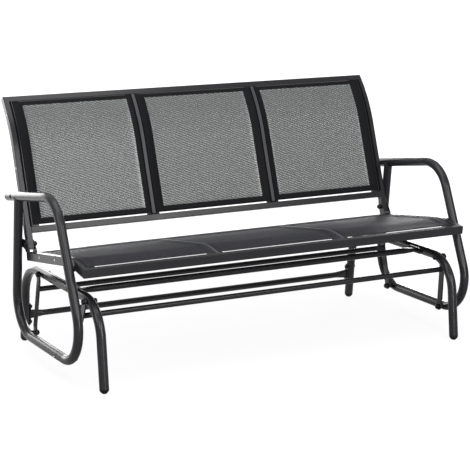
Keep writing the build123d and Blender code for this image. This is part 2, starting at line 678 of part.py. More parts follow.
def sling_section(x0, x1, face):
    """Fabric panel: a sheet over the tracks whose ends turn down into the grooves round a strip."""
    level = face + FABRIC_CLEAR + FABRIC_T / 2
    drop = face - GROOVE_DEPTH
    sheet = Pos((x0 + x1) / 2, level) * Rectangle(x1 - x0 + FABRIC_T, FABRIC_T)
    for x in (x0, x1):
        sheet += Pos(x, (level + drop) / 2) * Rectangle(FABRIC_T, level - drop + FABRIC_T)
        sheet += Pos(x, drop) * Rectangle(*hem)
    for x in (x0, x1):
        sheet -= Pos(x, drop) * Rectangle(STRIP[0] + 2 * STRIP_CLEAR, STRIP[1] + 2 * STRIP_CLEAR)
    return sheet


rib_groove = RIB_WEB / 2 + RIB_GROOVE_IN
seat_grooves = [-seat_inner_x + GROOVE_IN, -RIB_X - rib_groove, -RIB_X + rib_groove]
seat_grooves += [-x for x in reversed(seat_grooves)]
back_grooves = [-back_inner_x + GROOVE_IN] + seat_grooves[1:5] + [back_inner_x - GROOVE_IN]


def sling(grooves, panel, face, legs):
    """One fabric panel between two neighbouring grooves."""
    return run(sling_section(grooves[2 * panel], grooves[2 * panel + 1], face), 0, legs)


def strips(grooves, face, legs):
    """The strips in the hems of three panels."""
    return group([run(Pos(x, face - GROOVE_DEPTH) * Rectangle(*STRIP), 0, legs) for x in grooves])


# Brackets between the seat and the back

def bracket():
    """Right bracket: a base on the seat rail and two ears; the outer ear reaches the arm."""
    frame = Plane(
        origin=(SEAT_HALF_W - BACK_RAIL_W / 2, *SEAT_REAR), x_dir=(1, 0, 0), z_dir=(0, *seat_rear_dir)
    )
    base_w = BACK_RAIL_W + 2 * EAR_T
    base = Pos(0, SEAT_RAIL_H / 2 + EAR_T / 2) * Rectangle(base_w, EAR_T)
    saddle = extrude(frame * base, amount=SADDLE_LEN)
    top = bracket_bolt[1] + EAR_RISE
    rail_top = SEAT_RAIL_H / 2 / cos(radians(SEAT_SLOPE))
    low = (SEAT_REAR[0], seat_z(SEAT_REAR[0]) + rail_top)
    fore_y = SEAT_REAR[0] - SADDLE_LEN
    fore = (fore_y, seat_z(fore_y) + rail_top)
    mid = bracket_bolt[0]
    ear = [fore, (mid - 14, top - 8), (mid - 6, top), (mid + 14, top), low]
    tab = rear_bolt[0] + 12
    wide = ear[:3] + [(tab - 6, top), (tab, top - 6), (tab, bracket_bolt[1] - 12)]
    wide += [(low[0] + 8, low[1] + 8), low]
    for outline, x in ((ear, back_inner_x - EAR_T), (wide, SEAT_HALF_W)):
        plate = Plane.YZ.offset(x) * make_face(Polyline(*outline, close=True))
        saddle += extrude(plate, amount=EAR_T)
    saddle -= x_rod(BOLT_R + BOLT_CLEAR, back_inner_x - 10, ARM_X, bracket_bolt)
    return saddle - x_rod(BOLT_R + BOLT_CLEAR, SEAT_HALF_W - 1, ARM_X, rear_bolt)


def frame_plug(plane, width, height):
    """Plug in the open end of a rectangular tube, on the plane of that end."""
    head = extrude(chamfer(Rectangle(width, height).vertices(), RAIL_CORNER), amount=-2)
    stem = extrude(Rectangle(width - 2 * SEAT_WALL - 0.4, height - 2 * SEAT_WALL - 0.4), amount=10)
    return plane * (head + stem)


def stile_plug():
    """Plug under the level cut of a stile."""
    depth = BACK_RAIL_D / cos(radians(BACK_RECLINE))
    at = (SEAT_HALF_W - BACK_RAIL_W / 2, back_y(BACK_CUT_Z), BACK_CUT_Z)
    return Pos(*at) * Pos(0, 0, -1) * Box(BACK_RAIL_W, depth, 2)


def rib_cap():
    """Black cap between the foot of a back rib and the lower rail."""
    wide = RIB_WEB + 2 * RIB_WING
    start, heading, length, _ = back_run(0, 0)[-1]
    foot = leg_plane(RIB_X, toward(start, lower_rail_mid, length - RIB_CAP_H), heading)
    section = Pos(0, back_face - TRACK_T / 2) * Rectangle(wide, TRACK_T)
    return extrude(foot * section, amount=RIB_CAP_H)


def build():
    """All nodes by name."""
    nodes = {}

    def pair(name, piece):
        nodes[name + "_right"], nodes[name + "_left"] = both_sides(piece)

    def grouped(name, pieces):
        nodes[name] = group([solid for piece in pieces for solid in both_sides(piece)])

    pair("base_arch", base_arch())
    nodes["base_front_crossbar"] = cross_bar((CROSS_FRONT_Y, ARCH_TOP_Z), 0)
    nodes["base_rear_crossbar"] = cross_bar((leg_y(CROSS_REAR_Z), CROSS_REAR_Z), 90 + LEG_SPLAY)
    grouped("foot_plugs", [foot_plug(-1), foot_plug(1)])
    tops = (front_top, rear_top)
    lows = (front_low, rear_low)
    grouped("top_pivot_bolts", [top_bolt(p) for p in tops])

    for name, top, low, clear in (
        ("front_hanger", front_top, front_low, BUSH_CLEAR),
        ("rear_hanger", rear_top, rear_low, FREE_CLEAR),
    ):
        pair(name + "_link", hanger_link(top, low))
        nodes[name + "_bar"] = hanger_bar(top, low)
        nodes[name + "_bushes"] = hanger_bushes(top, low, clear)

    pair("arm_upper_tube", arm_upper())
    pair("arm_lower_tube", arm_lower())
    grouped("armrest_plugs", [armrest_plug()])
    upper, lower = arm_upper_path(), arm_lower_path()
    grouped("low_pivot_bosses", [
        coped_collar(low_boss_x, front_low, upper), coped_collar(low_boss_x, rear_low, lower),
    ])
    grouped("low_pivot_bolts", [low_bolt(p) for p in lows])
    grouped("arm_spacers", [coped_collar(SEAT_HALF_W, at, upper) for at in (front_bolt, rest_bolt)])
    x_rest = ARM_X - sqrt((TUBE_D / 2 - TUBE_WALL) ** 2 - HEAD_R**2)
    grouped("arm_bolts", [
        bolt(seat_inner_x, seat_inner_x - HEAD_H, ARM_X - BOLT_SHORT, HEAD_R - 1.5, front_bolt),
        bolt(SEAT_HALF_W, SEAT_HALF_W - HEAD_H, ARM_X - BOLT_SHORT, HEAD_R, rear_bolt),
        bolt(x_rest, x_rest + HEAD_H, back_inner_x + BOLT_SHORT, HEAD_R, rest_bolt),
    ])

    pair("seat_side_rail", seat_side_rail())
    nodes["seat_front_rail"] = seat_front_rail()
    nodes["seat_rear_rail"] = seat_rear_rail()
    pair("seat_track", run(track_section(seat_face), seat_inner_x, seat_run(0, 0)))
    pair("seat_rib", run(rib_section(seat_face), RIB_X, seat_run(0, 0)))
    pair("back_stile", back_stile())
    nodes["back_top_rail"] = back_top_rail()
    nodes["back_lower_rail"] = back_lower_rail()
    pair("back_track", run(track_section(back_face), back_inner_x, back_run(0, 0)))
    pair("back_rib", run(rib_section(back_face), RIB_X, back_run(0, RIB_CAP_H)))
    grouped("back_rib_caps", [rib_cap()])
    seat_legs = seat_run(HEM_GAP_REAR, HEM_GAP_FRONT)
    back_legs = back_run(HEM_GAP_TOP, HEM_GAP_LOWER)
    for panel, side in enumerate(("left", "middle", "right")):
        nodes["seat_sling_" + side] = sling(seat_grooves, panel, seat_face, seat_legs)
        nodes["back_sling_" + side] = sling(back_grooves, panel, back_face, back_legs)
    nodes["seat_sling_strips"] = strips(seat_grooves, seat_face, seat_legs)
    nodes["back_sling_strips"] = strips(back_grooves, back_face, back_legs)

    pair("back_bracket", bracket())
    grouped("bracket_bolts", [capped_bolt(SEAT_HALF_W + EAR_T, back_inner_x - EAR_T, bracket_bolt)])
    rail_end = leg_plane(SEAT_HALF_W - SEAT_RAIL_W / 2, SEAT_REAR, pi - radians(SEAT_SLOPE))
    grouped("frame_plugs", [frame_plug(rail_end, SEAT_RAIL_W, SEAT_RAIL_H), stile_plug()])
    return nodes


def main():
    os.makedirs("parts", exist_ok=True)
    shift = Pos(0, -DEPTH_MID_Y, 0)
    for name, piece in build().items():
        solids = [shift * solid for solid in piece.solids()]
        node = solids[0] if len(solids) == 1 else Compound(solids)
        export_step(node, os.path.join("parts", name + ".step"))


if __name__ == "__main__":
    main()
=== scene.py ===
"""Looks of a sling glider bench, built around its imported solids.

Lengths are metres.  X runs along the seat, Y towards the back and Z up.  Side outlines are given as
(Y, Z) points with the middle of the base at Y = 0, and moved back by DEPTH_MID with everything else.
"""

import json
import logging
import math
from dataclasses import dataclass
from enum import Enum
from typing import Any, Callable, Sequence

import bpy
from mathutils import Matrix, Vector


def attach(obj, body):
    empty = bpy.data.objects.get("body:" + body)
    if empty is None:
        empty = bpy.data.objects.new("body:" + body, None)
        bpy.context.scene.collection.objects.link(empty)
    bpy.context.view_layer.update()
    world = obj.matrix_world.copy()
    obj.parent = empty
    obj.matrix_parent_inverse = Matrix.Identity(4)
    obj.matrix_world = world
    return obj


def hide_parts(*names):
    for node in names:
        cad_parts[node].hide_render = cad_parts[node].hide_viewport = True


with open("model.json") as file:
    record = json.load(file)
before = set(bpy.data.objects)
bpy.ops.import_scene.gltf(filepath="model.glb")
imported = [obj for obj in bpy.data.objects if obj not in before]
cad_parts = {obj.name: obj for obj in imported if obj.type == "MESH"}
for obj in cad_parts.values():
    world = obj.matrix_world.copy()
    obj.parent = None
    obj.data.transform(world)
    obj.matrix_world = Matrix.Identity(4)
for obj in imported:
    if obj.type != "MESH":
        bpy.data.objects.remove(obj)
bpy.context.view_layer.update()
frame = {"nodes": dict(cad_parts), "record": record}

LOG = logging.getLogger("glider_bench")
Point = tuple[float, float]

DEPTH_MID = 0.01058
MERGE = 1e-6
SOFT_ANGLE = 60.0
BACKWARDS = Vector((0, 1, 0))


class Body(Enum):
    """The bodies that pieces ride on."""

    BASE = "base"
    FRONT_HANGER = "front_hanger"
    REAR_HANGER = "rear_hanger"
    SEAT = "seat"


class Side(Enum):
    """Left and right of the bench, as signs of X."""

    LEFT = -1
    RIGHT = 1


class Slot(Enum):
    """Material slots of the record."""

    FRAME = "frame"
    RIB = "rib"
    PLASTIC = "black_plastic"
    BOLT = "black_bolt"
    SEAT_MESH = "seat_mesh"
    BACK_MESH = "back_mesh"
    STRIP = "strip"


class Cut(Enum):
    """What a level cut takes away."""

    ABOVE = "above"
    BELOW = "below"


@dataclass(frozen=True)
class Bench:
    """Sizes that several sub-assemblies share, with X for the right side."""

    tube: float = 0.016
    arch_x: float = 0.683
    arm_x: float = 0.752
    leg_splay: float = 6.0
    rest_end: Point = (0.290, 0.5435)
    rest_slope: float = 9.0
    back_wall: float = 0.711
    rib_x: float = 0.733 / 3


BENCH = Bench()


class Value:
    """A shader number that takes part in Python expressions."""

    def __init__(self, shader: "Nodes", socket: bpy.types.NodeSocket) -> None:
        """Wrap an output socket of a node."""
        self.shader = shader
        self.socket = socket

    def _math(self, operation: str, *values: Any) -> "Value":
        """Add a Math node on the given values."""
        inputs = dict(enumerate(values))
        return self.shader.value("ShaderNodeMath", {"operation": operation}, inputs)

    def __add__(self, other: Any) -> "Value":
        """Sum."""
        return self._math("ADD", self, other)

    def __sub__(self, other: Any) -> "Value":
        """Difference."""
        return self._math("SUBTRACT", self, other)

    def __rsub__(self, other: Any) -> "Value":
        """Difference from a number."""
        return self._math("SUBTRACT", other, self)

    def __mul__(self, other: Any) -> "Value":
        """Product."""
        return self._math("MULTIPLY", self, other)

    __radd__ = __add__
    __rmul__ = __mul__

    def wave(self) -> "Value":
        """Sine of the value."""
        return self._math("SINE", self)

    def size(self) -> "Value":
        """Absolute value."""
        return self._math("ABSOLUTE", self)

    def smallest(self, other: Any) -> "Value":
        """The smaller of two values."""
        return self._math("MINIMUM", self, other)

    def largest(self, other: Any) -> "Value":
        """The larger of two values."""
        return self._math("MAXIMUM", self, other)

    def held(self) -> "Value":
        """The value kept between zero and one."""
        return self.largest(0.0).smallest(1.0)


class Nodes:
    """Nodes of a material or of the world."""

    def __init__(self, tree: bpy.types.NodeTree) -> None:
        """Work on a node tree."""
        self.tree = tree

    def node(self, kind: str, settings: dict[str, Any], inputs: dict[Any, Any]) -> bpy.types.Node:
        """Add a node.

        Args:
            kind: Node type.
            settings: Properties, set first.
            inputs: Values or links by socket name or number.

        Returns:
            The new node.
        """
        node = self.tree.nodes.new(kind)
        for key, setting in settings.items():
            setattr(node, key, setting)
        for key, given in inputs.items():
            if isinstance(given, Value):
                self.link(given, node.inputs[key])
            else:
                node.inputs[key].default_value = given
        return node

    def value(
        self, kind: str, settings: dict[str, Any], inputs: dict[Any, Any], output: Any = 0
    ) -> Value:
        """Add a node and return one of its outputs."""
        return Value(self, self.node(kind, settings, inputs).outputs[output])

    def link(self, given: Value, socket: bpy.types.NodeSocket) -> None:
        """Link a value to an input."""
        self.tree.links.new(given.socket, socket)


class Shader(Nodes):
    """One material and the nodes that feed its surface."""

    def __init__(self, name: str) -> None:
        """Start a material with a bare surface shader.

        Args:
            name: Name of the material.
        """
        self.material = bpy.data.materials.new(name)
        self.material.use_nodes = True
        super().__init__(self.material.node_tree)
        self.surface = self.tree.nodes["Principled BSDF"]
        self.output = self.tree.nodes["Material Output"]

    def noise(self, scale: float, detail: float = 2.0) -> Value:
        """Noise in the piece's own coordinates, about 0 to 1.

        Args:
            scale: Cells per metre.
            detail: Octaves.

        Returns:
            The noise value.
        """
        place = self.value("ShaderNodeTexCoord", {}, {}, "Object")
        return self.value("ShaderNodeTexNoise", {}, {"Vector": place, "Scale": scale, "Detail": detail})

    def along(self) -> tuple[Value, Value]:
        """The two coordinates of the piece's own map, in metres."""
        uv = self.value("ShaderNodeTexCoord", {}, {}, "UV")
        split = self.node("ShaderNodeSeparateXYZ", {}, {0: uv})
        return Value(self, split.outputs[0]), Value(self, split.outputs[1])

    def blend(self, factor: Any, first: Any, second: Any) -> Value:
        """Mix two colours by a factor."""
        node = self.node("ShaderNodeMix", {"data_type": "RGBA"}, {0: factor, 6: first, 7: second})
        return Value(self, node.outputs[2])

    def bump(self, height: Value, depth: float, strength: float = 1.0) -> None:
        """Raise the surface by a height, in metres of depth."""
        inputs = {"Height": height, "Distance": depth, "Strength": strength}
        self.feed("Normal", self.value("ShaderNodeBump", {}, inputs))

    def feed(self, socket: str, given: Value) -> None:
        """Link a varying value to the surface."""
        self.link(given, self.surface.inputs[socket])

    def fix(self, **constants: Any) -> None:
        """Set constant sockets of the surface; underscores stand for spaces."""
        for key, constant in constants.items():
            self.surface.inputs[key.replace("_", " ")].default_value = constant


def grey(level: float, blue: float = 0.0, green: float = 0.0) -> tuple[float, float, float, float]:
    """Near-neutral colour with shares of extra blue and green."""
    return (level, level * (1 + green), level * (1 + blue), 1.0)


@dataclass(frozen=True)
class PowderCoat:
    """Charcoal powder coat with a fine orange peel."""

    name: str
    level: float
    rough: float
    blue: float = 0.14
    shine: float = 0.36
    spread: Point = (0.72, 1.3)
    cloud_scale: float = 6.0
    cloud_detail: float = 3.0
    fleck_scale: float = 900.0
    fleck_share: float = 0.3
    rough_spread: float = 0.12
    peel_scale: float = 520.0
    peel_depth: float = 0.00005
    peel_strength: float = 0.25

    def material(self) -> bpy.types.Material:
        """Build the material."""
        shader = Shader(self.name)
        cloud = shader.noise(self.cloud_scale, self.cloud_detail)
        fleck = shader.noise(self.fleck_scale, 1.0)
        tone = cloud * (1 - self.fleck_share) + fleck * self.fleck_share
        dark, light = (grey(self.level * share, self.blue) for share in self.spread)
        shader.feed("Base Color", shader.blend(tone, dark, light))
        shader.feed("Roughness", cloud * self.rough_spread + (self.rough - self.rough_spread / 2))
        shader.bump(shader.noise(self.peel_scale), self.peel_depth, self.peel_strength)
        shader.fix(Specular_IOR_Level=self.shine)
        return shader.material


@dataclass(frozen=True)
class Grained:
    """Moulded plastic, thread or plated steel with a fine grain."""

    name: str
    level: float
    rough: float
    shine: float = 0.22
    metal: float = 0.0
    grain_scale: float = 1500.0
    spread: Point = (0.7, 1.4)
    rough_spread: float = 0.14
    depth: float = 0.00006
    strength: float = 0.7

    def material(self) -> bpy.types.Material:
        """Build the material."""
        shader = Shader(self.name)
        grain = shader.noise(self.grain_scale)
        dark, light = (grey(self.level * share) for share in self.spread)
        shader.feed("Base Color", shader.blend(grain, dark, light))
        shader.feed("Roughness", grain * self.rough_spread + (self.rough - self.rough_spread / 2))
        shader.bump(grain, self.depth, self.strength)
        shader.fix(Specular_IOR_Level=self.shine, Metallic=self.metal)
        return shader.material


@dataclass(frozen=True)
class Weave:
    """Woven mesh: round yarns over and under, with open holes between them and faint slanted bands."""

    name: str
    dark: float
    light: float
    pitch: float = 0.0010
    hole_edge: float = 0.72
    edge_sharpness: float = 6.0
    band: float = 0.0
    band_pitch: float = 0.0084
    band_slant: float = 24.0
    drift_scale: float = 9.0
    drift: float = 1.6
    shine: float = 0.35
    rough: float = 0.62
    blue: float = 0.0
    green: float = 0.0
    open_holes: bool = True
    cloud_scale: float = 14.0
    cloud_detail: float = 3.0
    fibre_scale: float = 700.0
    yarn_share: float = 0.3
    fibre_share: float = 0.08
    cloud_share: float = 0.12
    band_share: float = 0.28
    crown: float = 0.5
    relief: float = 0.235
    relief_strength: float = 0.8

    def material(self) -> bpy.types.Material:
        """Build the material.

        Returns:
            The weave, see-through in its holes where they are open.
        """
        shader = Shader(self.name)
        across, along = shader.along()
        turn = math.pi / self.pitch
        over, under = (across * turn).wave(), (along * turn).wave()
        warp, weft = over.size(), under.size()
        band = self._bands(shader, across, along)
        cloud = shader.noise(self.cloud_scale, self.cloud_detail)
        fibre = shader.noise(self.fibre_scale, 1.0)
        tone = (warp + weft) * self.yarn_share + fibre * self.fibre_share
        tone = tone + cloud * self.cloud_share + band * self.band_share
        light, dark = (grey(level, self.blue, self.green) for level in (self.light, self.dark))
        shader.feed("Base Color", shader.blend(tone, light, dark))
        height = warp.largest(weft) * self.crown - (over * under).size()
        shader.bump(height, self.pitch * self.relief, self.relief_strength)
        shader.fix(Roughness=self.rough, Specular_IOR_Level=self.shine)
        if self.open_holes:
            depth = warp.smallest(weft) - self.hole_edge - band * self.band
            shader.feed("Alpha", 1 - (depth * self.edge_sharpness).held())
        return shader.material

    def _bands(self, shader: Shader, across: Value, along: Value) -> Value:
        """Slanted bands from -1 to 1 that drift a little along their length."""
        slant = math.radians(self.band_slant)
        way = along * math.cos(slant) - across * math.sin(slant)
        drift = shader.noise(self.drift_scale, 1.0) * self.drift
        return (way * (2 * math.pi / self.band_pitch) + drift).wave()


class Finishes:
    """The finishes of the bench, each made once."""

    def __init__(self) -> None:
        """Build every material."""
        self.coat = PowderCoat("charcoal_coat", 0.015, 0.25).material()
        # Rib coat: the charcoal coat at three times its level, made lighter to paint the highlight along the
        # rib's narrow front.
        self.rib = PowderCoat("rib_coat", 0.045, 0.42).material()
        self.plastic = Grained("black_plastic", 0.005, 0.5).material()
        self.bolt = Grained("black_bolt", 0.006, 0.4).material()
        self.zinc = Grained(
            "zinc_screw", 0.62, 0.3, shine=0.5, metal=1.0, grain_scale=800.0, spread=(0.8, 1.1),
            rough_spread=0.2, depth=0.00004, strength=0.5,
        ).material()
        self.thread = Grained("black_thread", 0.014, 0.7).material()
        # Near-black finish that paints the shade in the steps beside the stiles and ribs of the back.
        self.painted_shade = Grained("painted_shade_black", 0.003, 0.8, shine=0.06).material()
        self.back_mesh = Weave(
            "grey_mesh", 0.062, 0.146, hole_edge=0.53, edge_sharpness=5.0, band=0.12, blue=0.04, green=0.07
        ).material()
        self.seat_mesh = Weave(
            "charcoal_mesh", 0.0105, 0.0225, hole_edge=0.88, band=0.03, shine=0.25, blue=0.3
        ).material()
        self.hem = Weave("black_hem", 0.003, 0.007, shine=0.12, blue=0.25, open_holes=False).material()
        self.seat_hem = Weave(
            "charcoal_hem", 0.0095, 0.021, shine=0.22, blue=0.3, open_holes=False
        ).material()

    def for_slot(self, slot: Slot) -> bpy.types.Material:
        """Finish of a record slot."""
        return {
            Slot.FRAME: self.coat, Slot.RIB: self.rib, Slot.PLASTIC: self.plastic, Slot.BOLT: self.bolt,
            Slot.SEAT_MESH: self.seat_mesh, Slot.BACK_MESH: self.back_mesh, Slot.STRIP: self.plastic,
        }[slot]


def moved(y: float, z: float) -> Point:
    """Side point moved to the middle of the whole bench."""
    return (y - DEPTH_MID, z)


def deselect() -> None:
    """Leave nothing selected, out of edit mode."""
    if bpy.context.object and bpy.context.object.mode != "OBJECT":
        bpy.ops.object.mode_set(mode="OBJECT")
    bpy.ops.object.select_all(action="DESELECT")


def activate(piece: bpy.types.Object) -> None:
    """Select one piece alone and make it active."""
    deselect()
    piece.select_set(True)
    bpy.context.view_layer.objects.active = piece


def apply(piece: bpy.types.Object, kind: str, **settings: Any) -> None:
    """Add a modifier to a piece and apply it.

    Args:
        piece: The piece.
        kind: Modifier type.
        settings: Its properties.
    """
    activate(piece)
    modifier = piece.modifiers.new(kind.lower(), kind)
    for key, setting in settings.items():
        setattr(modifier, key, setting)
    bpy.ops.object.modifier_apply(modifier=modifier.name)


def smooth(piece: bpy.types.Object, degrees: float = 35.0) -> None:
    """Shade a piece smooth over edges blunter than an angle."""
    activate(piece)
    bpy.ops.object.shade_smooth_by_angle(angle=math.radians(degrees))


def named(name: str) -> bpy.types.Object:
    """Name the piece that was just added."""
    piece = bpy.context.object
    piece.name = piece.data.name = name
    return piece


def edit_all(piece: bpy.types.Object) -> None:
    """Enter edit mode on one piece with all of it selected."""
    activate(piece)
    bpy.ops.object.mode_set(mode="EDIT")
    bpy.ops.mesh.select_all(action="SELECT")


def close_up() -> None:
    """Merge the doubles of the piece in edit mode, turn its faces outwards and leave edit mode."""
    bpy.ops.mesh.select_all(action="SELECT")
    bpy.ops.mesh.remove_doubles(threshold=MERGE)
    bpy.ops.mesh.normals_make_consistent(inside=False)
    bpy.ops.object.mode_set(mode="OBJECT")


def turned(
    name: str, profile: Sequence[Point], at: Vector, axis: Vector, steps: int = 32
) -> bpy.types.Object:
    """Draw a profile from point to point and spin it round an axis.

    Args:
        name: Name of the piece.
        profile: Points of (distance along the axis, radius), from axis to axis or back to the first.
        at: Zero of the distances.
        axis: Direction of the axis.
        steps: Segments round the axis.

    Returns:
        A closed turned piece.
    """
    axis = axis.normalized()
    out = axis.orthogonal().normalized()
    spots = [at + axis * along + out * radius for along, radius in profile]
    deselect()
    bpy.ops.mesh.primitive_plane_add(size=profile[1][1], calc_uvs=False)
    piece = named(name)
    edit_all(piece)
    bpy.ops.mesh.merge(type="CENTER")
    bpy.ops.transform.translate(value=spots[0])
    for start, end in zip(spots, spots[1:]):
        bpy.ops.mesh.extrude_vertices_move(TRANSFORM_OT_translate={"value": end - start})
    bpy.ops.mesh.select_all(action="SELECT")
    bpy.ops.mesh.spin(steps=steps, angle=2 * math.pi, center=at, axis=axis)
    close_up()
    smooth(piece)
    return piece


def joined(name: str, pieces: Sequence[bpy.types.Object]) -> bpy.types.Object:
    """Join pieces into one of a given name."""
    deselect()
    for piece in pieces:
        piece.select_set(True)
    bpy.context.view_layer.objects.active = pieces[0]
    if len(pieces) > 1:
        bpy.ops.object.join()
    pieces[0].name = name
    pieces[0].data.name = name
    return pieces[0]


def dress(piece: bpy.types.Object, finish: bpy.types.Material, body: Body, slot: Slot) -> bpy.types.Object:
    """Give a piece its finish, if it has none yet, and its body."""
    if not piece.data.materials:
        piece.data.materials.append(finish)
    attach(piece, body.value)
    LOG.info("%s rides on %s", piece.name, body.value)
    return piece


def dome(reach: float, radius: float, rings: int = 6, rim_share: float = 0.4) -> list[Point]:
    """Domed head from its flat face at zero to its tip at reach, as a turned profile."""
    rim = reach * rim_share
    profile = [(0.0, 0.0), (0.0, radius), (rim, radius)]
    for ring in range(1, rings + 1):
        angle = math.pi / 2 * ring / rings
        profile.append((rim + (reach - rim) * math.sin(angle), radius * math.cos(angle)))
    return profile


@dataclass(frozen=True)
class Bolt:
    """A domed bolt along X: a head, a shank and perhaps a cap nut.

    X values are for the right side.
    """

    seat: float
    head_radius: float
    head_height: float
    end: float
    shank: float = 0.004
    chamfer: float = 0.0006
    shank_steps: int = 20
    outwards: bool = True
    cap_radius: float = 0.0
    cap_height: float = 0.0

    def build(self, name: str, at: Point, side: Side) -> bpy.types.Object:
        """Model one bolt.

        Args:
            name: Name of the piece.
            at: (Y, Z) of its axis, already moved.
            side: Side of the bench.

        Returns:
            The bolt as one piece.
        """
        axis = Vector((side.value if self.outwards else -side.value, 0, 0))
        spot = Vector((side.value * self.seat, *at))
        parts = [turned(name + "_head", dome(self.head_height, self.head_radius), spot, axis)]
        length, radius = abs(self.end - self.seat), self.shank
        shank = [(0, 0), (0, radius), (length - self.chamfer, radius)]
        shank += [(length, radius - self.chamfer), (length, 0)]
        parts.append(turned(name + "_shank", shank, spot, -axis, self.shank_steps))
        if self.cap_radius:
            spot = Vector((side.value * self.end, *at))
            parts.append(turned(name + "_cap", dome(self.cap_height, self.cap_radius), spot, -axis))
        return joined(name, parts)


@dataclass
class Camera:
    """The photograph's view."""

    place: tuple[float, float, float] = (-2.660, -4.973 - DEPTH_MID, 1.590)
    yaw: float = 27.98
    pitch: float = 12.06
    focal_pixels: float = 1626.0
    image_pixels: float = 470.0
    sensor: float = 36.0
    far_clip: float = 100.0

    def build(self) -> None:
        """Create the camera and make it the scene's."""
        data = bpy.data.cameras.new("photo_camera")
        data.sensor_width = self.sensor
        data.lens = self.focal_pixels / self.image_pixels * self.sensor
        data.clip_end = self.far_clip
        camera = bpy.data.objects.new("photo_camera", data)
        camera.location = self.place
        camera.rotation_euler = (math.radians(90 - self.pitch), 0, math.radians(-self.yaw))
        bpy.context.scene.collection.objects.link(camera)
        bpy.context.scene.camera = camera


@dataclass
class Studio:
    """Pale floor, white backdrop and soft light, stronger from behind and above."""

    floor_size: float = 60.0
    floor_level: float = 0.36
    floor_glow: float = 0.68
    glow_level: float = 1.3
    far_start: float = 1.0
    sweep_start: float = -0.2
    sweep_rise: float = 0.9
    pools: tuple[tuple[float, float, float], ...] = ((-1.7, -2.3, 1.5), (1.0, -1.8, 0.7))
    floor_rough: float = 0.9
    floor_shine: float = 0.1
    front_light: float = 0.2
    back_light: float = 0.5
    top_light: float = 0.35

    def build(self) -> None:
        """Create the floor, the world and the lamps."""
        self._floor()
        self._world()
        self._lamp("sky_panel", (-0.8, -0.4, 3.4), (0, 0, 0), (3.6, 2.4), 60.0)
        self._lamp("left_panel", (-3.6, -1.2, 2.4), (0, -58, 15), (1.8, 1.8), 34.0)
        self._lamp("front_panel", (-1.8, -4.2, 3.0), (58, 0, -23), (2.4, 2.0), 58.0)
        self._lamp("front_strip", (0.0, -4.3, 1.2), (90, 0, 0), (0.25, 2.4), 80.0)
        self._lamp("face_panel", (1.7, -4.2, 2.8), (60, 0, 20), (1.8, 0.9), 36.0)
        self._lamp("rear_panel", (-0.5, 5.2, 1.35), (-90, 0, 0), (4.0, 2.6), 170.0)
        self._lamp("corner_panel", (4.6, 5.0, 1.2), (-90, 0, -40), (1.4, 1.8), 100.0)

    def _floor(self) -> None:
        """White floor that keeps a soft shadow of the bench."""
        deselect()
        bpy.ops.mesh.primitive_plane_add(size=self.floor_size)
        floor = bpy.context.object
        floor.name = "floor"
        shader = Shader("floor_white")
        shader.fix(Base_Color=grey(self.floor_level), Roughness=self.floor_rough)
        shader.fix(Specular_IOR_Level=self.floor_shine)
        path = shader.node("ShaderNodeLightPath", {}, {})
        camera, glossy = (Value(shader, path.outputs[f"Is {ray} Ray"]) for ray in ("Camera", "Glossy"))
        spot = shader.value("ShaderNodeNewGeometry", {}, {}, "Position")
        split = shader.node("ShaderNodeSeparateXYZ", {}, {0: spot})
        aside, depth = (Value(shader, split.outputs[i]) for i in (0, 1))
        behind = ((depth - self.sweep_start) * self.sweep_rise).held()
        radius = shader.value("ShaderNodeVectorMath", {"operation": "LENGTH"}, {0: spot}, "Value")
        far = ((radius - self.far_start) * self.sweep_rise).held()
        bright = behind
        for x, y, size in self.pools:
            reach = (aside - x).size().largest((depth - y).size())
            bright = bright.largest((size - reach).smallest(1.0))
        seen = camera * (self.floor_glow + far * (1 - self.floor_glow)) + glossy * bright
        glow = shader.value("ShaderNodeEmission", {}, {"Strength": self.glow_level})
        plain = Value(shader, shader.surface.outputs[0])
        mixed = shader.value("ShaderNodeMixShader", {}, {0: seen, 1: plain, 2: glow})
        shader.link(mixed, shader.output.inputs["Surface"])
        floor.data.materials.append(shader.material)

    def _world(self) -> None:
        """White for the camera; as a light, brighter behind and above than in front."""
        world = bpy.data.worlds.new("studio")
        bpy.context.scene.world = world
        world.use_nodes = True
        nodes = Nodes(world.node_tree)
        path = nodes.node("ShaderNodeLightPath", {}, {})
        rays = [Value(nodes, path.outputs[f"Is {ray} Ray"]) for ray in ("Camera", "Transmission")]
        seen = rays[0].largest(rays[1])
        way = nodes.value("ShaderNodeTexCoord", {}, {}, "Generated")
        split = nodes.node("ShaderNodeSeparateXYZ", {}, {0: way})
        back, up = (Value(nodes, split.outputs[i]).largest(0.0) for i in (1, 2))
        light = back * self.back_light + up * self.top_light + self.front_light
        background = world.node_tree.nodes["Background"]
        background.inputs["Color"].default_value = (1, 1, 1, 1)
        nodes.link(seen + (1 - seen) * light, background.inputs["Strength"])

    def _lamp(
        self, name: str, place: Sequence[float], turn: Sequence[float], size: Point, power: float
    ) -> None:
        """Add one soft panel lamp.

        Args:
            name: Name of the lamp.
            place: Its place.
            turn: Turn about X, Y and Z in degrees; untouched it shines down.
            size: Width and height.
            power: Watts.
        """
        data = bpy.data.lights.new(name, "AREA")
        data.shape = "RECTANGLE"
        data.size, data.size_y = size
        data.energy = power
        lamp = bpy.data.objects.new(name, data)
        lamp.location = place
        lamp.rotation_euler = [math.radians(angle) for angle in turn]
        lamp.visible_camera = False
        bpy.context.scene.collection.objects.link(lamp)


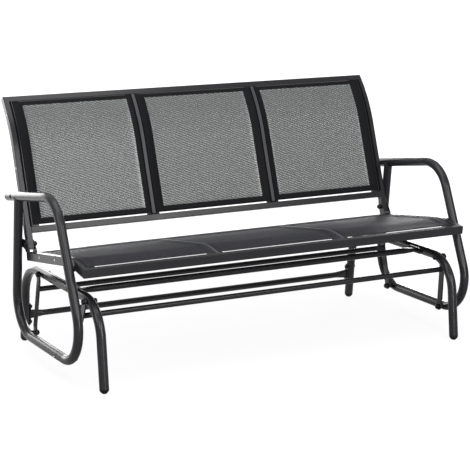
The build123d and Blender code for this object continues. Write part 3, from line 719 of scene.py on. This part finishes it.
@dataclass
class SideLine:
    """A side outline of two straight runs and one bend, walked by its length."""

    corners: tuple[Point, Point, Point]
    radius: float
    start_gap: float = 0.0
    end_gap: float = 0.0

    def __post_init__(self) -> None:
        """Work out the runs and the bend."""
        first, knee, last = (Vector(c) for c in self.corners)
        self.into = (knee - first).normalized()
        self.out = (last - knee).normalized()
        self.turn = self.into.angle_signed(self.out) * -1
        cut = self.radius * math.tan(abs(self.turn) / 2)
        self.first = first + self.into * self.start_gap
        self.bend = knee - self.into * cut
        self.run_in = (self.bend - self.first).length
        self.arc = self.radius * abs(self.turn)
        self.leave = knee + self.out * cut
        self.run_out = (last - self.leave).length - self.end_gap
        self.length = self.run_in + self.arc + self.run_out

    def begun(self, gap: float) -> "SideLine":
        """The same outline, begun at another gap from its first corner."""
        return SideLine(self.corners, self.radius, gap, 0.0)

    def _way(self, angle: float) -> Vector:
        """Direction of the first run, turned by an angle."""
        x, y = self.into
        return Vector((
            x * math.cos(angle) - y * math.sin(angle), x * math.sin(angle) + y * math.cos(angle)
        ))

    def at(self, distance: float, offset: float) -> Point:
        """Point a distance along, offset to the face side.

        Args:
            distance: Length from the start.
            offset: Height over the middle line, on the side that is up or to the front.

        Returns:
            The (Y, Z) point.
        """
        if distance <= self.run_in:
            point, way = self.first + self.into * distance, self.into
        elif distance <= self.run_in + self.arc:
            part = (distance - self.run_in) / self.arc * self.turn
            chord = 2 * self.radius * math.sin(abs(part) / 2)
            point, way = self.bend + self._way(part / 2) * chord, self._way(part)
        else:
            point, way = self.leave + self.out * (distance - self.run_in - self.arc), self.out
        return (point.x + offset * way.y, point.y - offset * way.x)


def laid_grid(
    name: str, columns: int, rows: int, place: Callable[[int, int], Vector], mapped: bool
) -> bpy.types.Object:
    """Add a grid and lay each of its points in place.

    Args:
        name: Name of the piece.
        columns: Points along one row.
        rows: Number of rows.
        place: Place of the point in a column and row.
        mapped: Whether the grid gets a map of its own.

    Returns:
        The open grid.
    """
    deselect()
    bpy.ops.mesh.primitive_grid_add(
        x_subdivisions=columns - 1, y_subdivisions=rows - 1, size=1, calc_uvs=mapped
    )
    grid = named(name)
    for index, vertex in enumerate(grid.data.vertices):
        vertex.co = place(index % columns, index // columns)
    return grid


@dataclass(frozen=True)
class Stitch:
    """One stitch of thread, narrower on top, and its distance from the next."""

    pitch: float = 0.0062
    length: float = 0.0044
    width: float = 0.0009
    rise: float = 0.0005
    top_length: float = 0.6
    top_width: float = 2 / 3
    inset: float = 0.003

    def row(self, name: str, reach: float, lay: Callable[[float, float, float], Vector]) -> bpy.types.Object:
        """Model one stitch, repeat it along a row and lay the row on its hem.

        Args:
            name: Name of the piece.
            reach: Length of the row.
            lay: Place of a point from its distance along, across and over the row.

        Returns:
            The row of stitches.
        """
        deselect()
        bpy.ops.mesh.primitive_cube_add(size=1.0, calc_uvs=False)
        row = named(name)
        edit_all(row)
        bpy.ops.mesh.select_all(action="DESELECT")
        bpy.ops.object.mode_set(mode="OBJECT")
        for vertex in row.data.vertices:
            vertex.select = vertex.co.z > 0
        bpy.ops.object.mode_set(mode="EDIT")
        bpy.ops.transform.resize(value=(self.top_length, self.top_width, 1), center_override=(0, 0, 0))
        bpy.ops.mesh.select_all(action="SELECT")
        bpy.ops.transform.translate(value=(0.5, 0, 0.5))
        size = (self.length, self.width, self.rise)
        bpy.ops.transform.resize(value=size, center_override=(0, 0, 0))
        bpy.ops.transform.translate(value=(self.pitch / 2, 0, 0))
        bpy.ops.object.mode_set(mode="OBJECT")
        apply(
            row, "ARRAY", count=int(reach / self.pitch), use_relative_offset=False,
            use_constant_offset=True, constant_offset_displace=(self.pitch, 0, 0),
        )
        for vertex in row.data.vertices:
            vertex.co = lay(*vertex.co)
        edit_all(row)
        bpy.ops.mesh.normals_make_consistent(inside=False)
        bpy.ops.object.mode_set(mode="OBJECT")
        smooth(row, SOFT_ANGLE)
        return row


@dataclass
class Sling:
    """One woven panel, stretched between two grooves and turned down into them."""

    name: str
    node: str
    left: float
    right: float
    line: SideLine
    level: float
    side_hems: Point
    end_hems: Point
    slack: float
    slot: Slot
    rests_on: Sequence[str]
    turn_down: float = 0.0042
    shoulder: Point = (0.0009, -0.0006)
    end_round: float = 0.0012
    thick: float = 0.0009
    fold: float = 0.0007
    edge: float = 0.0008
    inner_columns: int = 26
    inner_rows: int = 34
    crease: float = 50.0
    stitch: Stitch = Stitch()

    def _open(self, low: float, high: float, count: int) -> list[tuple[float, float, bool]]:
        """Even steps over the open weave between two hems, with the hem's fold beside them."""
        steps = [(low + (high - low) * i / count, 0.0, False) for i in range(count + 1)]
        return [(low - self.edge, self.fold, True), *steps, (high + self.edge, self.fold, True)]

    def columns(self) -> list[tuple[float, float, bool]]:
        """X, height and hem flag of every column of the panel."""
        low, high = self.left + self.side_hems[0], self.right - self.side_hems[1]
        inset, drop = self.shoulder
        return [
            (self.left, -self.turn_down, True), (self.left, drop, True),
            (self.left + inset, self.fold, True), *self._open(low, high, self.inner_columns),
            (self.right - inset, self.fold, True), (self.right, drop, True),
            (self.right, -self.turn_down, True),
        ]

    def stations(self) -> list[tuple[float, float, bool]]:
        """Distance, height and hem flag of every row of the panel."""
        end = self.line.length
        low, high = self.end_hems[0], end - self.end_hems[1]
        return [
            (0.0, 0.0, True), (self.end_round, self.fold, True), *self._open(low, high, self.inner_rows),
            (end - self.end_round, self.fold, True), (end, 0.0, True),
        ]

    def build(self, mesh_finish: bpy.types.Material, hem_finish: bpy.types.Material) -> bpy.types.Object:
        """Model and dress the panel.

        Args:
            mesh_finish: Finish of the open weave.
            hem_finish: Finish of the folded hems.

        Returns:
            The panel.
        """
        columns, stations = self.columns(), self.stations()
        width = len(columns)

        def place(column: int, row: int) -> Vector:
            """Point of the panel, with its sag."""
            x, lift, _ = columns[column]
            along, rise, _ = stations[row]
            across = (x - self.left) / (self.right - self.left)
            sag = self.slack * math.sin(math.pi * across) * math.sin(math.pi * along / self.line.length)
            height = self.level + (lift if lift < 0 else max(lift, rise)) - sag
            return Vector((x, *self.line.at(along, height)))

        panel = laid_grid(self.name, width, len(stations), place, mapped=True)
        weave_map = panel.data.uv_layers[0].data
        for loop in panel.data.loops:
            row, column = divmod(loop.vertex_index, width)
            weave_map[loop.index].uv = (columns[column][0], stations[row][0])
        panel.data.materials.append(mesh_finish)
        panel.data.materials.append(hem_finish)
        for polygon in panel.data.polygons:
            corners = [divmod(v, width) for v in polygon.vertices]
            in_hem = any(columns[c][2] or stations[r][2] for r, c in corners)
            polygon.material_index = 1 if in_hem else 0
        self._face_up(panel)
        apply(panel, "SOLIDIFY", thickness=self.thick, offset=0.0)
        smooth(panel, self.crease)
        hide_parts(self.node)
        flat = (self.right - self.left + 2 * self.turn_down, self.line.length)
        list(self.rests_on)
        return dress(panel, mesh_finish, Body.SEAT, self.slot)

    def _face_up(self, panel: bpy.types.Object) -> None:
        """Turn the faces to the outside of the seat or back."""
        middle = panel.data.polygons[len(panel.data.polygons) // 2]
        over, on = (Vector((0, *self.line.at(self.line.length / 2, height))) for height in (1.0, 0.0))
        if middle.normal.dot(over - on) < 0:
            edit_all(panel)
            bpy.ops.mesh.flip_normals()
            bpy.ops.object.mode_set(mode="OBJECT")

    def stitches(self, finish: bpy.types.Material) -> bpy.types.Object:
        """Rows of thread along the inner edges of the hems.

        Args:
            finish: Finish of the thread.

        Returns:
            All stitches of the panel as one piece.
        """
        name, inset = self.name + "_stitches", self.stitch.inset
        low, high = self.left + self.side_hems[0] - inset, self.right - self.side_hems[1] + inset
        near, far = self.end_hems[0] - inset, self.line.length - self.end_hems[1] + inset
        top = self.level + self.fold + self.thick / 2

        def down(x: float) -> Callable[[float, float, float], Vector]:
            """Lay a row along a side hem."""
            return lambda along, aside, over: Vector((x + aside, *self.line.at(near + along, top + over)))

        def across(start: float) -> Callable[[float, float, float], Vector]:
            """Lay a row along an end hem."""
            return lambda along, aside, over: Vector((low + along, *self.line.at(start + aside, top + over)))

        rows = [self.stitch.row(name, far - near, down(x)) for x in (low, high)]
        rows += [self.stitch.row(name, high - low, across(start)) for start in (near, far)]
        return dress(joined(name, rows), finish, Body.SEAT, self.slot)


@dataclass
class Slings:
    """The six woven panels of the seat and the back."""

    rib_half: float = 0.006
    rib_groove: float = 0.0045
    track_groove: float = 0.007
    outer_hem: float = 0.034
    inner_hem: float = 0.019
    seat_wall: float = 0.713
    seat_rear: Point = (0.180, 0.349)
    seat_slope: float = 8.4
    seat_knee_y: float = -0.215
    seat_front_y: float = -0.325
    seat_drop: float = 8.6
    seat_bend: float = 0.200
    seat_gaps: Point = (0.049, 0.031)
    seat_level: float = 0.0117
    seat_end_hems: Point = (0.018, 0.020)
    seat_slack: float = 0.003
    back_foot: Point = (0.172, 0.372)
    recline: float = 19.0
    back_knee_z: float = 0.782
    top_recline: float = 39.0
    top_length: float = 0.1152
    lower_rail_z: float = 0.437
    back_bend: float = 0.500
    back_gaps: Point = (0.024, 0.016)
    back_level: float = 0.0092
    back_middle_hem: float = 0.032
    back_end_hems: Point = (0.015, 0.0215)
    back_slack: float = 0.002

    def seat_line(self) -> SideLine:
        """Seat outline from behind the rear rail to the front rail."""
        rear_y, rear_z = self.seat_rear
        knee_z = rear_z + (rear_y - self.seat_knee_y) * math.tan(math.radians(self.seat_slope))
        fall = (self.seat_knee_y - self.seat_front_y) * math.tan(math.radians(self.seat_drop))
        corners = (self.seat_rear, (self.seat_knee_y, knee_z), (self.seat_front_y, knee_z - fall))
        return SideLine(tuple(moved(*c) for c in corners), self.seat_bend, *self.seat_gaps)

    def back_line(self) -> SideLine:
        """Back outline from the top rail down to the lower rail."""
        foot_y, foot_z = self.back_foot
        slope, lean = math.tan(math.radians(self.recline)), math.radians(self.top_recline)
        knee, low = ((foot_y + (z - foot_z) * slope, z) for z in (self.back_knee_z, self.lower_rail_z))
        top = (knee[0] + self.top_length * math.sin(lean), knee[1] + self.top_length * math.cos(lean))
        return SideLine(tuple(moved(*c) for c in (top, knee, low)), self.back_bend, *self.back_gaps)

    def build(self, finishes: Finishes) -> None:
        """Model all panels.

        Args:
            finishes: The finishes of the bench.
        """
        for sling in self._panels("seat", self.seat_wall, self.inner_hem, dict(
            line=self.seat_line(), level=self.seat_level, end_hems=self.seat_end_hems,
            slack=self.seat_slack, slot=Slot.SEAT_MESH,
        )):
            sling.build(finishes.seat_mesh, finishes.seat_hem)
            sling.stitches(finishes.thread)
        for sling in self._panels("back", BENCH.back_wall, self.back_middle_hem, dict(
            line=self.back_line(), level=self.back_level, end_hems=self.back_end_hems,
            slack=self.back_slack, slot=Slot.BACK_MESH,
        )):
            sling.build(finishes.back_mesh, finishes.hem)
            sling.stitches(finishes.thread)

    def _panels(self, kind: str, wall: float, middle_hem: float, shared: dict[str, Any]) -> list[Sling]:
        """The three panels of the seat or the back.

        Args:
            kind: "seat" or "back".
            wall: X of the rail that carries the outer track.
            middle_hem: Width of the side hems of the middle panel.
            shared: What the three panels have alike.

        Returns:
            The left, middle and right panel.
        """
        outside = wall - self.track_groove
        reach = self.rib_half + self.rib_groove
        rib_in, rib_out = BENCH.rib_x - reach, BENCH.rib_x + reach
        outer, inner = self.outer_hem, self.inner_hem
        ribs = [f"{kind}_rib_left", f"{kind}_rib_right"]
        rows = (
            ("left", -outside, -rib_out, (outer, inner), [f"{kind}_track_left", ribs[0]]),
            ("middle", -rib_in, rib_in, (middle_hem, middle_hem), ribs),
            ("right", rib_out, outside, (inner, outer), [f"{kind}_track_right", ribs[1]]),
        )
        return [
            Sling(
                name=f"{kind}_panel_{place}", node=f"{kind}_sling_{place}", left=left, right=right,
                side_hems=hems, rests_on=carriers, **shared,
            )
            for place, left, right, hems, carriers in rows
        ]


@dataclass
class ShadeStrips:
    """Black strips of painted shade, laid in the shaded steps beside the stiles of the back and beside its
    ribs.
    """

    lap: float = 0.0045
    lap_thick: Point = (0.0006, 0.0008)
    gap: float = 0.0024
    gap_drop: float = 0.0018
    clear: float = 0.0002
    end_gaps: Point = (0.0222, 0.0112)
    face: float = 0.0126
    foot: float = 0.0088
    rib_span: Point = (0.0062, 0.0099)
    rib_top: float = 0.0100
    stations: int = 40

    def beside_stile(self) -> list[Point]:
        """Outline beside the right stile, as (X, height)."""
        wall, rim, ridge = BENCH.back_wall, *self.lap_thick
        lap, low, beside = wall + self.lap, wall - self.gap, wall - self.clear
        return [
            (lap, self.face), (lap, self.face + rim), (wall, self.face + ridge),
            (low, self.face - self.gap_drop), (low, self.foot), (beside, self.foot), (beside, self.face),
        ]

    def beside_rib(self, way: int) -> list[Point]:
        """Outline beside the right rib, on its inner or outer side."""
        near, far = (BENCH.rib_x + way * reach for reach in self.rib_span)
        return [(near, self.foot), (far, self.foot), (far, self.rib_top), (near, self.rib_top)]

    def build(self, finishes: Finishes) -> None:
        """Model the strips of painted shade.

        Args:
            finishes: The finishes of the bench.
        """
        back = Slings().back_line()
        line = SideLine(back.corners, back.radius, *self.end_gaps)
        profiles = [self.beside_stile(), self.beside_rib(-1), self.beside_rib(1)]
        made = [self._strip(side, line, profile) for side in Side for profile in profiles]
        # The strips are painted shade: a near-black fill where the steps beside the stiles and ribs lie in
        # shade.
        dress(joined("back_shade_strips", made), finishes.painted_shade, Body.SEAT, Slot.PLASTIC)

    def _strip(self, side: Side, line: SideLine, profile: Sequence[Point]) -> bpy.types.Object:
        """One strip along a line: a grid rolled round the outline, with its ends filled."""
        def place(column: int, row: int) -> Vector:
            """Point of the outline at a station."""
            x, height = profile[column % len(profile)]
            return Vector((side.value * x, *line.at(line.length * row / (self.stations - 1), height)))

        strip = laid_grid(
            f"back_trim_{side.name.lower()}", len(profile) + 1, self.stations, place, mapped=False
        )
        edit_all(strip)
        bpy.ops.mesh.remove_doubles(threshold=MERGE)
        bpy.ops.mesh.fill_holes(sides=0)
        close_up()
        smooth(strip, SOFT_ANGLE)
        return strip


@dataclass
class Fixings:
    """Bolts, cap nuts and screws."""

    front_top: Point = (-0.252, 0.282454)
    rear_top: Point = (0.153, 0.288)
    front_low: Point = (-0.203, 0.082495)
    rear_low: Point = (0.141, 0.0863)
    cross_front: Point = (-0.126, 0.288)
    cross_rear: Point = (0.347805, 0.097)
    plate_pitch: float = 0.058
    bracket: Point = (0.178887, 0.392)
    arm_front: Point = (-0.246099, 0.393191)
    arm_rear: Point = (0.213528, 0.392)
    arm_rest: Point = (0.234101, 0.552354)
    top_bolt: Bolt = Bolt(0.7061, 0.0094, 0.0072, 0.667, cap_radius=0.0087, cap_height=0.0095)
    low_bolt: Bolt = Bolt(0.7205, 0.0094, 0.0115, 0.748, outwards=False)
    plate_bolt: Bolt = Bolt(0.699, 0.0058, 0.0036, 0.664, 0.003, cap_radius=0.0066, cap_height=0.008)
    bracket_bolt: Bolt = Bolt(0.736, 0.0078, 0.0055, 0.708, cap_radius=0.0087, cap_height=0.0135)
    front_bolt: Bolt = Bolt(0.713, 0.0064, 0.0055, 0.748, outwards=False)
    rear_bolt: Bolt = Bolt(0.733, 0.0078, 0.0055, 0.748, outwards=False)
    rest_bolt: Bolt = Bolt(0.7396, 0.0072, 0.005, 0.715)
    track_screw: Bolt = Bolt(0.7312, 0.0052, 0.0018, 0.722, 0.002)
    seat_screws: Point = (0.072, 0.214)
    seat_screw_start: float = 0.042
    seat_screw_height: float = 0.0008
    back_screws: Point = (0.046, 0.238)
    back_screw_start: float = 0.022
    back_screw_height: float = -0.0017
    seam: Point = (-0.150, 0.082)
    seam_screw: Point = (0.0026, 0.0048)
    seam_screw_back: float = 0.0126
    seam_screw_drop: float = 20.0
    seam_screw_sink: float = 0.0003
    ring_half: float = 0.0009
    ring_sink: float = 0.0004
    ring_rise: float = 0.0003
    ring_steps: int = 48

    def build(self, finishes: Finishes) -> None:
        """Model every fixing.

        Args:
            finishes: The finishes of the bench.
        """
        arms = [
            (self.front_bolt, self.arm_front), (self.rear_bolt, self.arm_rear),
            (self.rest_bolt, self.arm_rest),
        ]
        for name, places, body, node in (
            ("top_pivot_domes", [(self.top_bolt, at) for at in (self.front_top, self.rear_top)],
             Body.BASE, "top_pivot_bolts"),
            ("low_pivot_domes", [(self.low_bolt, at) for at in (self.front_low, self.rear_low)],
             Body.SEAT, "low_pivot_bolts"),
            ("crossbar_domes", [(self.plate_bolt, at) for at in self._plate_spots()], Body.BASE, None),
            ("bracket_domes", [(self.bracket_bolt, self.bracket)], Body.SEAT, "bracket_bolts"),
            ("arm_domes", arms, Body.SEAT, "arm_bolts"),
        ):
            piece = self._pairs(name, [(bolt, moved(*at)) for bolt, at in places])
            if node:
                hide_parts(node)
            dress(piece, finishes.bolt, body, Slot.BOLT)
        screws = [(self.track_screw, at) for at in self._track_spots()]
        dress(self._pairs("track_screws", screws), finishes.zinc, Body.SEAT, Slot.BOLT)
        self._seams(finishes)

    def _pairs(self, name: str, places: Sequence[tuple[Bolt, Point]]) -> bpy.types.Object:
        """One piece of the bolts at the given places, on both sides."""
        made = [
            bolt.build(f"{name}_{i}_{side.name.lower()}", at, side)
            for i, (bolt, at) in enumerate(places) for side in Side
        ]
        return joined(name, made)

    def _plate_spots(self) -> list[Point]:
        """Bolt places of the cross bar plates on one side."""
        half, lean = self.plate_pitch / 2, math.radians(BENCH.leg_splay)
        spots = [(self.cross_front[0] + s * half, self.cross_front[1]) for s in (-1, 1)]
        y, z = self.cross_rear
        return spots + [(y - s * half * math.sin(lean), z + s * half * math.cos(lean)) for s in (-1, 1)]

    def _track_spots(self) -> list[Point]:
        """Screw places of the seat's and the back's track on one side."""
        seat = Slings().seat_line().begun(self.seat_screw_start)
        back = Slings().back_line().begun(self.back_screw_start)
        spots = [seat.at(along, self.seat_screw_height) for along in self.seat_screws]
        return spots + [back.at(along, self.back_screw_height) for along in self.back_screws]

    def _seams(self, finishes: Finishes) -> None:
        """Bright screw of the joint in each arm, and a black ring of painted shade that stands in for the
        shaded gap of the joint.
        """
        drop = math.radians(self.seam_screw_drop)
        half, bore, rim = self.ring_half, BENCH.tube - self.ring_sink, BENCH.tube + self.ring_rise
        outline = [(-half, bore), (-half, rim), (half, rim), (half, bore), (-half, bore)]
        screws, rings = [], []
        for side in Side:
            middle = Vector((side.value * BENCH.arm_x, *moved(*self.seam)))
            out = Vector((side.value * math.cos(drop), 0, -math.sin(drop)))
            at = middle + BACKWARDS * self.seam_screw_back + out * (BENCH.tube - self.seam_screw_sink)
            screws.append(turned(f"seam_{side.name}", dome(*self.seam_screw), at, out))
            # The ring is painted shade: a thin black band where the gap of the joint lies in shade.
            rings.append(turned(f"ring_{side.name}", outline, middle, BACKWARDS, self.ring_steps))
        dress(joined("seam_screws", screws), finishes.zinc, Body.SEAT, Slot.BOLT)
        dress(joined("seam_shade_rings", rings), finishes.plastic, Body.SEAT, Slot.PLASTIC)


@dataclass
class Plugs:
    """Domed plugs in the feet and in the rear ends of the armrests."""

    foot_y: float = 0.358
    foot_head: float = 0.015
    foot_start: float = -0.006
    foot_outline: tuple[Point, ...] = (
        (0.001, 1.0), (0.004, 0.975), (0.007, 0.9), (0.0098, 0.79), (0.0122, 0.65), (0.0142, 0.5),
        (0.0165, 0.3), (0.018, 0.0),
    )
    rest_start: float = -0.018
    rest_bore: float = 0.0144
    rest_outline: tuple[Point, ...] = (
        (0.0, 1.0), (0.0012, 1.0), (0.0027, 0.95), (0.0038, 0.82), (0.0046, 0.5), (0.005, 0.0),
    )
    steps: int = 40

    def build(self, finishes: Finishes) -> None:
        """Model the feet and the armrest plugs.

        Args:
            finishes: The finishes of the bench.
        """
        feet = [self._foot(side, sign) for side in Side for sign in (-1, 1)]
        ends = [self._rest_plug(side) for side in Side]
        for name, made, node, body in (
            ("foot_domes", feet, "foot_plugs", Body.BASE),
            ("armrest_domes", ends, "armrest_plugs", Body.SEAT),
        ):
            piece = joined(name, made)
            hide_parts(node)
            dress(piece, finishes.plastic, body, Slot.PLASTIC)

    def _foot(self, side: Side, sign: int) -> bpy.types.Object:
        """One foot, cut level under the tube and on the floor."""
        lean = math.radians(BENCH.leg_splay)
        axis = Vector((0, sign * math.sin(lean), -math.cos(lean)))
        y = sign * (self.foot_y - self.foot_head * math.tan(lean))
        top = Vector((side.value * BENCH.arch_x, *moved(y, self.foot_head)))
        profile = [(self.foot_start, 0.0), (self.foot_start, BENCH.tube)]
        profile += [(along, BENCH.tube * share) for along, share in self.foot_outline]
        piece = turned(f"foot_{side.name.lower()}_{sign}", profile, top, axis, self.steps)
        level_cut(piece, self.foot_head, Cut.ABOVE)
        level_cut(piece, 0.0, Cut.BELOW)
        return piece

    def _rest_plug(self, side: Side) -> bpy.types.Object:
        """One armrest plug."""
        slope = math.radians(BENCH.rest_slope)
        axis = Vector((0, math.cos(slope), -math.sin(slope)))
        at = Vector((side.value * BENCH.arm_x, *moved(*BENCH.rest_end)))
        profile = [(self.rest_start, 0.0), (self.rest_start, self.rest_bore), (0.0, self.rest_bore)]
        profile += [(along, BENCH.tube * share) for along, share in self.rest_outline]
        return turned(f"rest_{side.name.lower()}", profile, at, axis, self.steps)


def level_cut(piece: bpy.types.Object, height: float, cut: Cut) -> None:
    """Cut a piece level and cap the cut.

    Args:
        piece: The piece.
        height: Height of the cut.
        cut: What is cut away.
    """
    edit_all(piece)
    bpy.ops.mesh.bisect(
        plane_co=(0, 0, height), plane_no=(0, 0, 1), use_fill=True,
        clear_outer=cut is Cut.ABOVE, clear_inner=cut is Cut.BELOW,
    )
    bpy.ops.object.mode_set(mode="OBJECT")


@dataclass
class Welds:
    """Weld beads where tubes meet links, plates and each other."""

    radius: float = 0.0016
    roundness: int = 2
    ripple: float = 0.16
    ripple_step: float = 1.7
    steps: int = 44
    link_face: float = 0.7008
    link_set_out: float = 0.020
    link_bend: float = 0.024
    hanger_drop: float = 0.051
    hanger_radius: float = 0.0095
    plate_face: float = 0.664
    flat_half: Point = (0.017, 0.005)
    boss: float = 0.009
    rear_foot: Point = (0.2483, 0.082)
    rear_lean: float = 6.4

    def build(self, finishes: Finishes, fixings: Fixings) -> None:
        """Model every bead.

        Args:
            finishes: The finishes of the bench.
            fixings: Places of the pivots and cross bars.
        """
        for name, top, low, body in (
            ("front_hanger_welds", fixings.front_top, fixings.front_low, Body.FRONT_HANGER),
            ("rear_hanger_welds", fixings.rear_top, fixings.rear_low, Body.REAR_HANGER),
        ):
            link = Vector(low) - Vector(top)
            spot = Vector(top) + link.normalized() * self.hanger_drop
            slant = self.link_set_out / (link.length - 2 * self.link_bend)
            face = self.link_face + slant * (self.hanger_drop - self.link_bend)
            loops = [self._ring(s, spot, (self.hanger_radius,) * 2, 0.0, face, slant) for s in Side]
            self._set(name, loops, body, finishes)
        loops = []
        for side in Side:
            for spot, lean in ((fixings.cross_front, 0.0), (fixings.cross_rear, 90 + BENCH.leg_splay)):
                loops.append(self._ring(side, Vector(spot), self.flat_half, lean, self.plate_face))
        self._set("crossbar_welds", loops, Body.BASE, finishes)
        loops = [self._saddle(side) for side in Side]
        for side in Side:
            loops += [self._boss(side, spot) for spot in (fixings.front_low, fixings.rear_low)]
        self._set("arm_welds", loops, Body.SEAT, finishes)

    def _set(self, name: str, loops: Sequence[Sequence[Vector]], body: Body, finishes: Finishes) -> None:
        """Join the beads of one group."""
        made = [self._bead(f"{name}_{i}", loop) for i, loop in enumerate(loops)]
        dress(joined(name, made), finishes.coat, body, Slot.FRAME)

    def _bead(self, name: str, loop: Sequence[Vector]) -> bpy.types.Object:
        """Rippled weld bead along a closed loop of points."""
        curve = bpy.data.curves.new(name, "CURVE")
        curve.dimensions = "3D"
        curve.bevel_depth = self.radius
        curve.bevel_resolution = self.roundness
        spline = curve.splines.new("POLY")
        spline.points.add(len(loop) - 1)
        for index, (point, spot) in enumerate(zip(spline.points, loop)):
            point.co = (*spot, 1.0)
            point.radius = 1.0 + self.ripple * math.sin(index * self.ripple_step)
        spline.use_cyclic_u = True
        piece = bpy.data.objects.new(name, curve)
        bpy.context.scene.collection.objects.link(piece)
        activate(piece)
        bpy.ops.object.convert(target="MESH")
        smooth(bpy.context.object, SOFT_ANGLE)
        return bpy.context.object

    def _angles(self) -> list[float]:
        """Angles round one loop."""
        return [2 * math.pi * i / self.steps for i in range(self.steps)]

    def _ring(
        self, side: Side, spot: Vector, half: Point, lean: float, x: float, slant: float = 0.0
    ) -> list[Vector]:
        """Loop round a tube end that stands on a plate across X.

        Args:
            side: Side of the bench.
            spot: Middle of the loop, as (Y, Z).
            half: Half sizes of the tube end.
            lean: Turn of the tube end in degrees.
            x: X of the plate on the right side.
            slant: How much the plate moves inwards as it rises.

        Returns:
            Points of the loop.
        """
        turn = math.radians(lean)
        points = []
        for angle in self._angles():
            a, b = half[0] * math.cos(angle), half[1] * math.sin(angle)
            y = spot.x + a * math.cos(turn) - b * math.sin(turn)
            z = spot.y + a * math.sin(turn) + b * math.cos(turn)
            points.append(Vector((side.value * (x - slant * b), *moved(y, z))))
        return points

    def _boss(self, side: Side, spot: Point) -> list[Vector]:
        """Loop where a boss meets an arm tube."""
        points = []
        for angle in self._angles():
            along, across = self.boss * math.cos(angle), self.boss * math.sin(angle)
            x = BENCH.arm_x - math.sqrt(BENCH.tube**2 - across**2)
            points.append(Vector((side.value * x, *moved(spot[0] + along, spot[1] + across))))
        return points

    def _saddle(self, side: Side) -> list[Vector]:
        """Loop where the rear upright meets the armrest above it."""
        lean, slope = math.radians(self.rear_lean), math.radians(BENCH.rest_slope)
        up = Vector((0, -math.sin(lean), math.cos(lean)))
        rest = Vector((0, math.cos(slope), -math.sin(slope)))
        foot = Vector((side.value * BENCH.arm_x, *moved(*self.rear_foot)))
        end = Vector((side.value * BENCH.arm_x, *moved(*BENCH.rest_end)))
        aside = Vector((1, 0, 0))
        fore = up.cross(aside)
        points = []
        for angle in self._angles():
            start = foot + (aside * math.cos(angle) + fore * math.sin(angle)) * BENCH.tube
            gap = start - end
            across = gap - rest * gap.dot(rest)
            rising = up - rest * up.dot(rest)
            a, b = rising.dot(rising), 2 * rising.dot(across)
            c = across.dot(across) - BENCH.tube**2
            root = math.sqrt(max(b * b - 4 * a * c, 0.0))
            points.append(start + up * ((-b - root) / (2 * a)))
        return points


@dataclass
class CarriedNodes:
    """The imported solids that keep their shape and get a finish."""

    finishes: Finishes

    def build(self) -> None:
        """Dress every node by its record slot."""
        slots = {row["node"]: row["material_slot"] for row in frame["record"]["subparts"]}
        for name, node in frame["nodes"].items():
            node.data.materials.clear()
            node.data.materials.append(self.finishes.for_slot(Slot(slots[name])))
            LOG.info("%s is finished as %s", name, slots[name])


def main() -> None:
    """Build the bench, the studio and the camera."""
    logging.basicConfig(level=logging.INFO)
    bpy.context.scene.view_settings.view_transform = "Standard"
    Camera().build()
    Studio().build()
    finishes = Finishes()
    CarriedNodes(finishes).build()
    Slings().build(finishes)
    ShadeStrips().build(finishes)
    fixings = Fixings()
    fixings.build(finishes)
    Plugs().build(finishes)
    Welds().build(finishes, fixings)


if __name__ == "__main__":
    main()
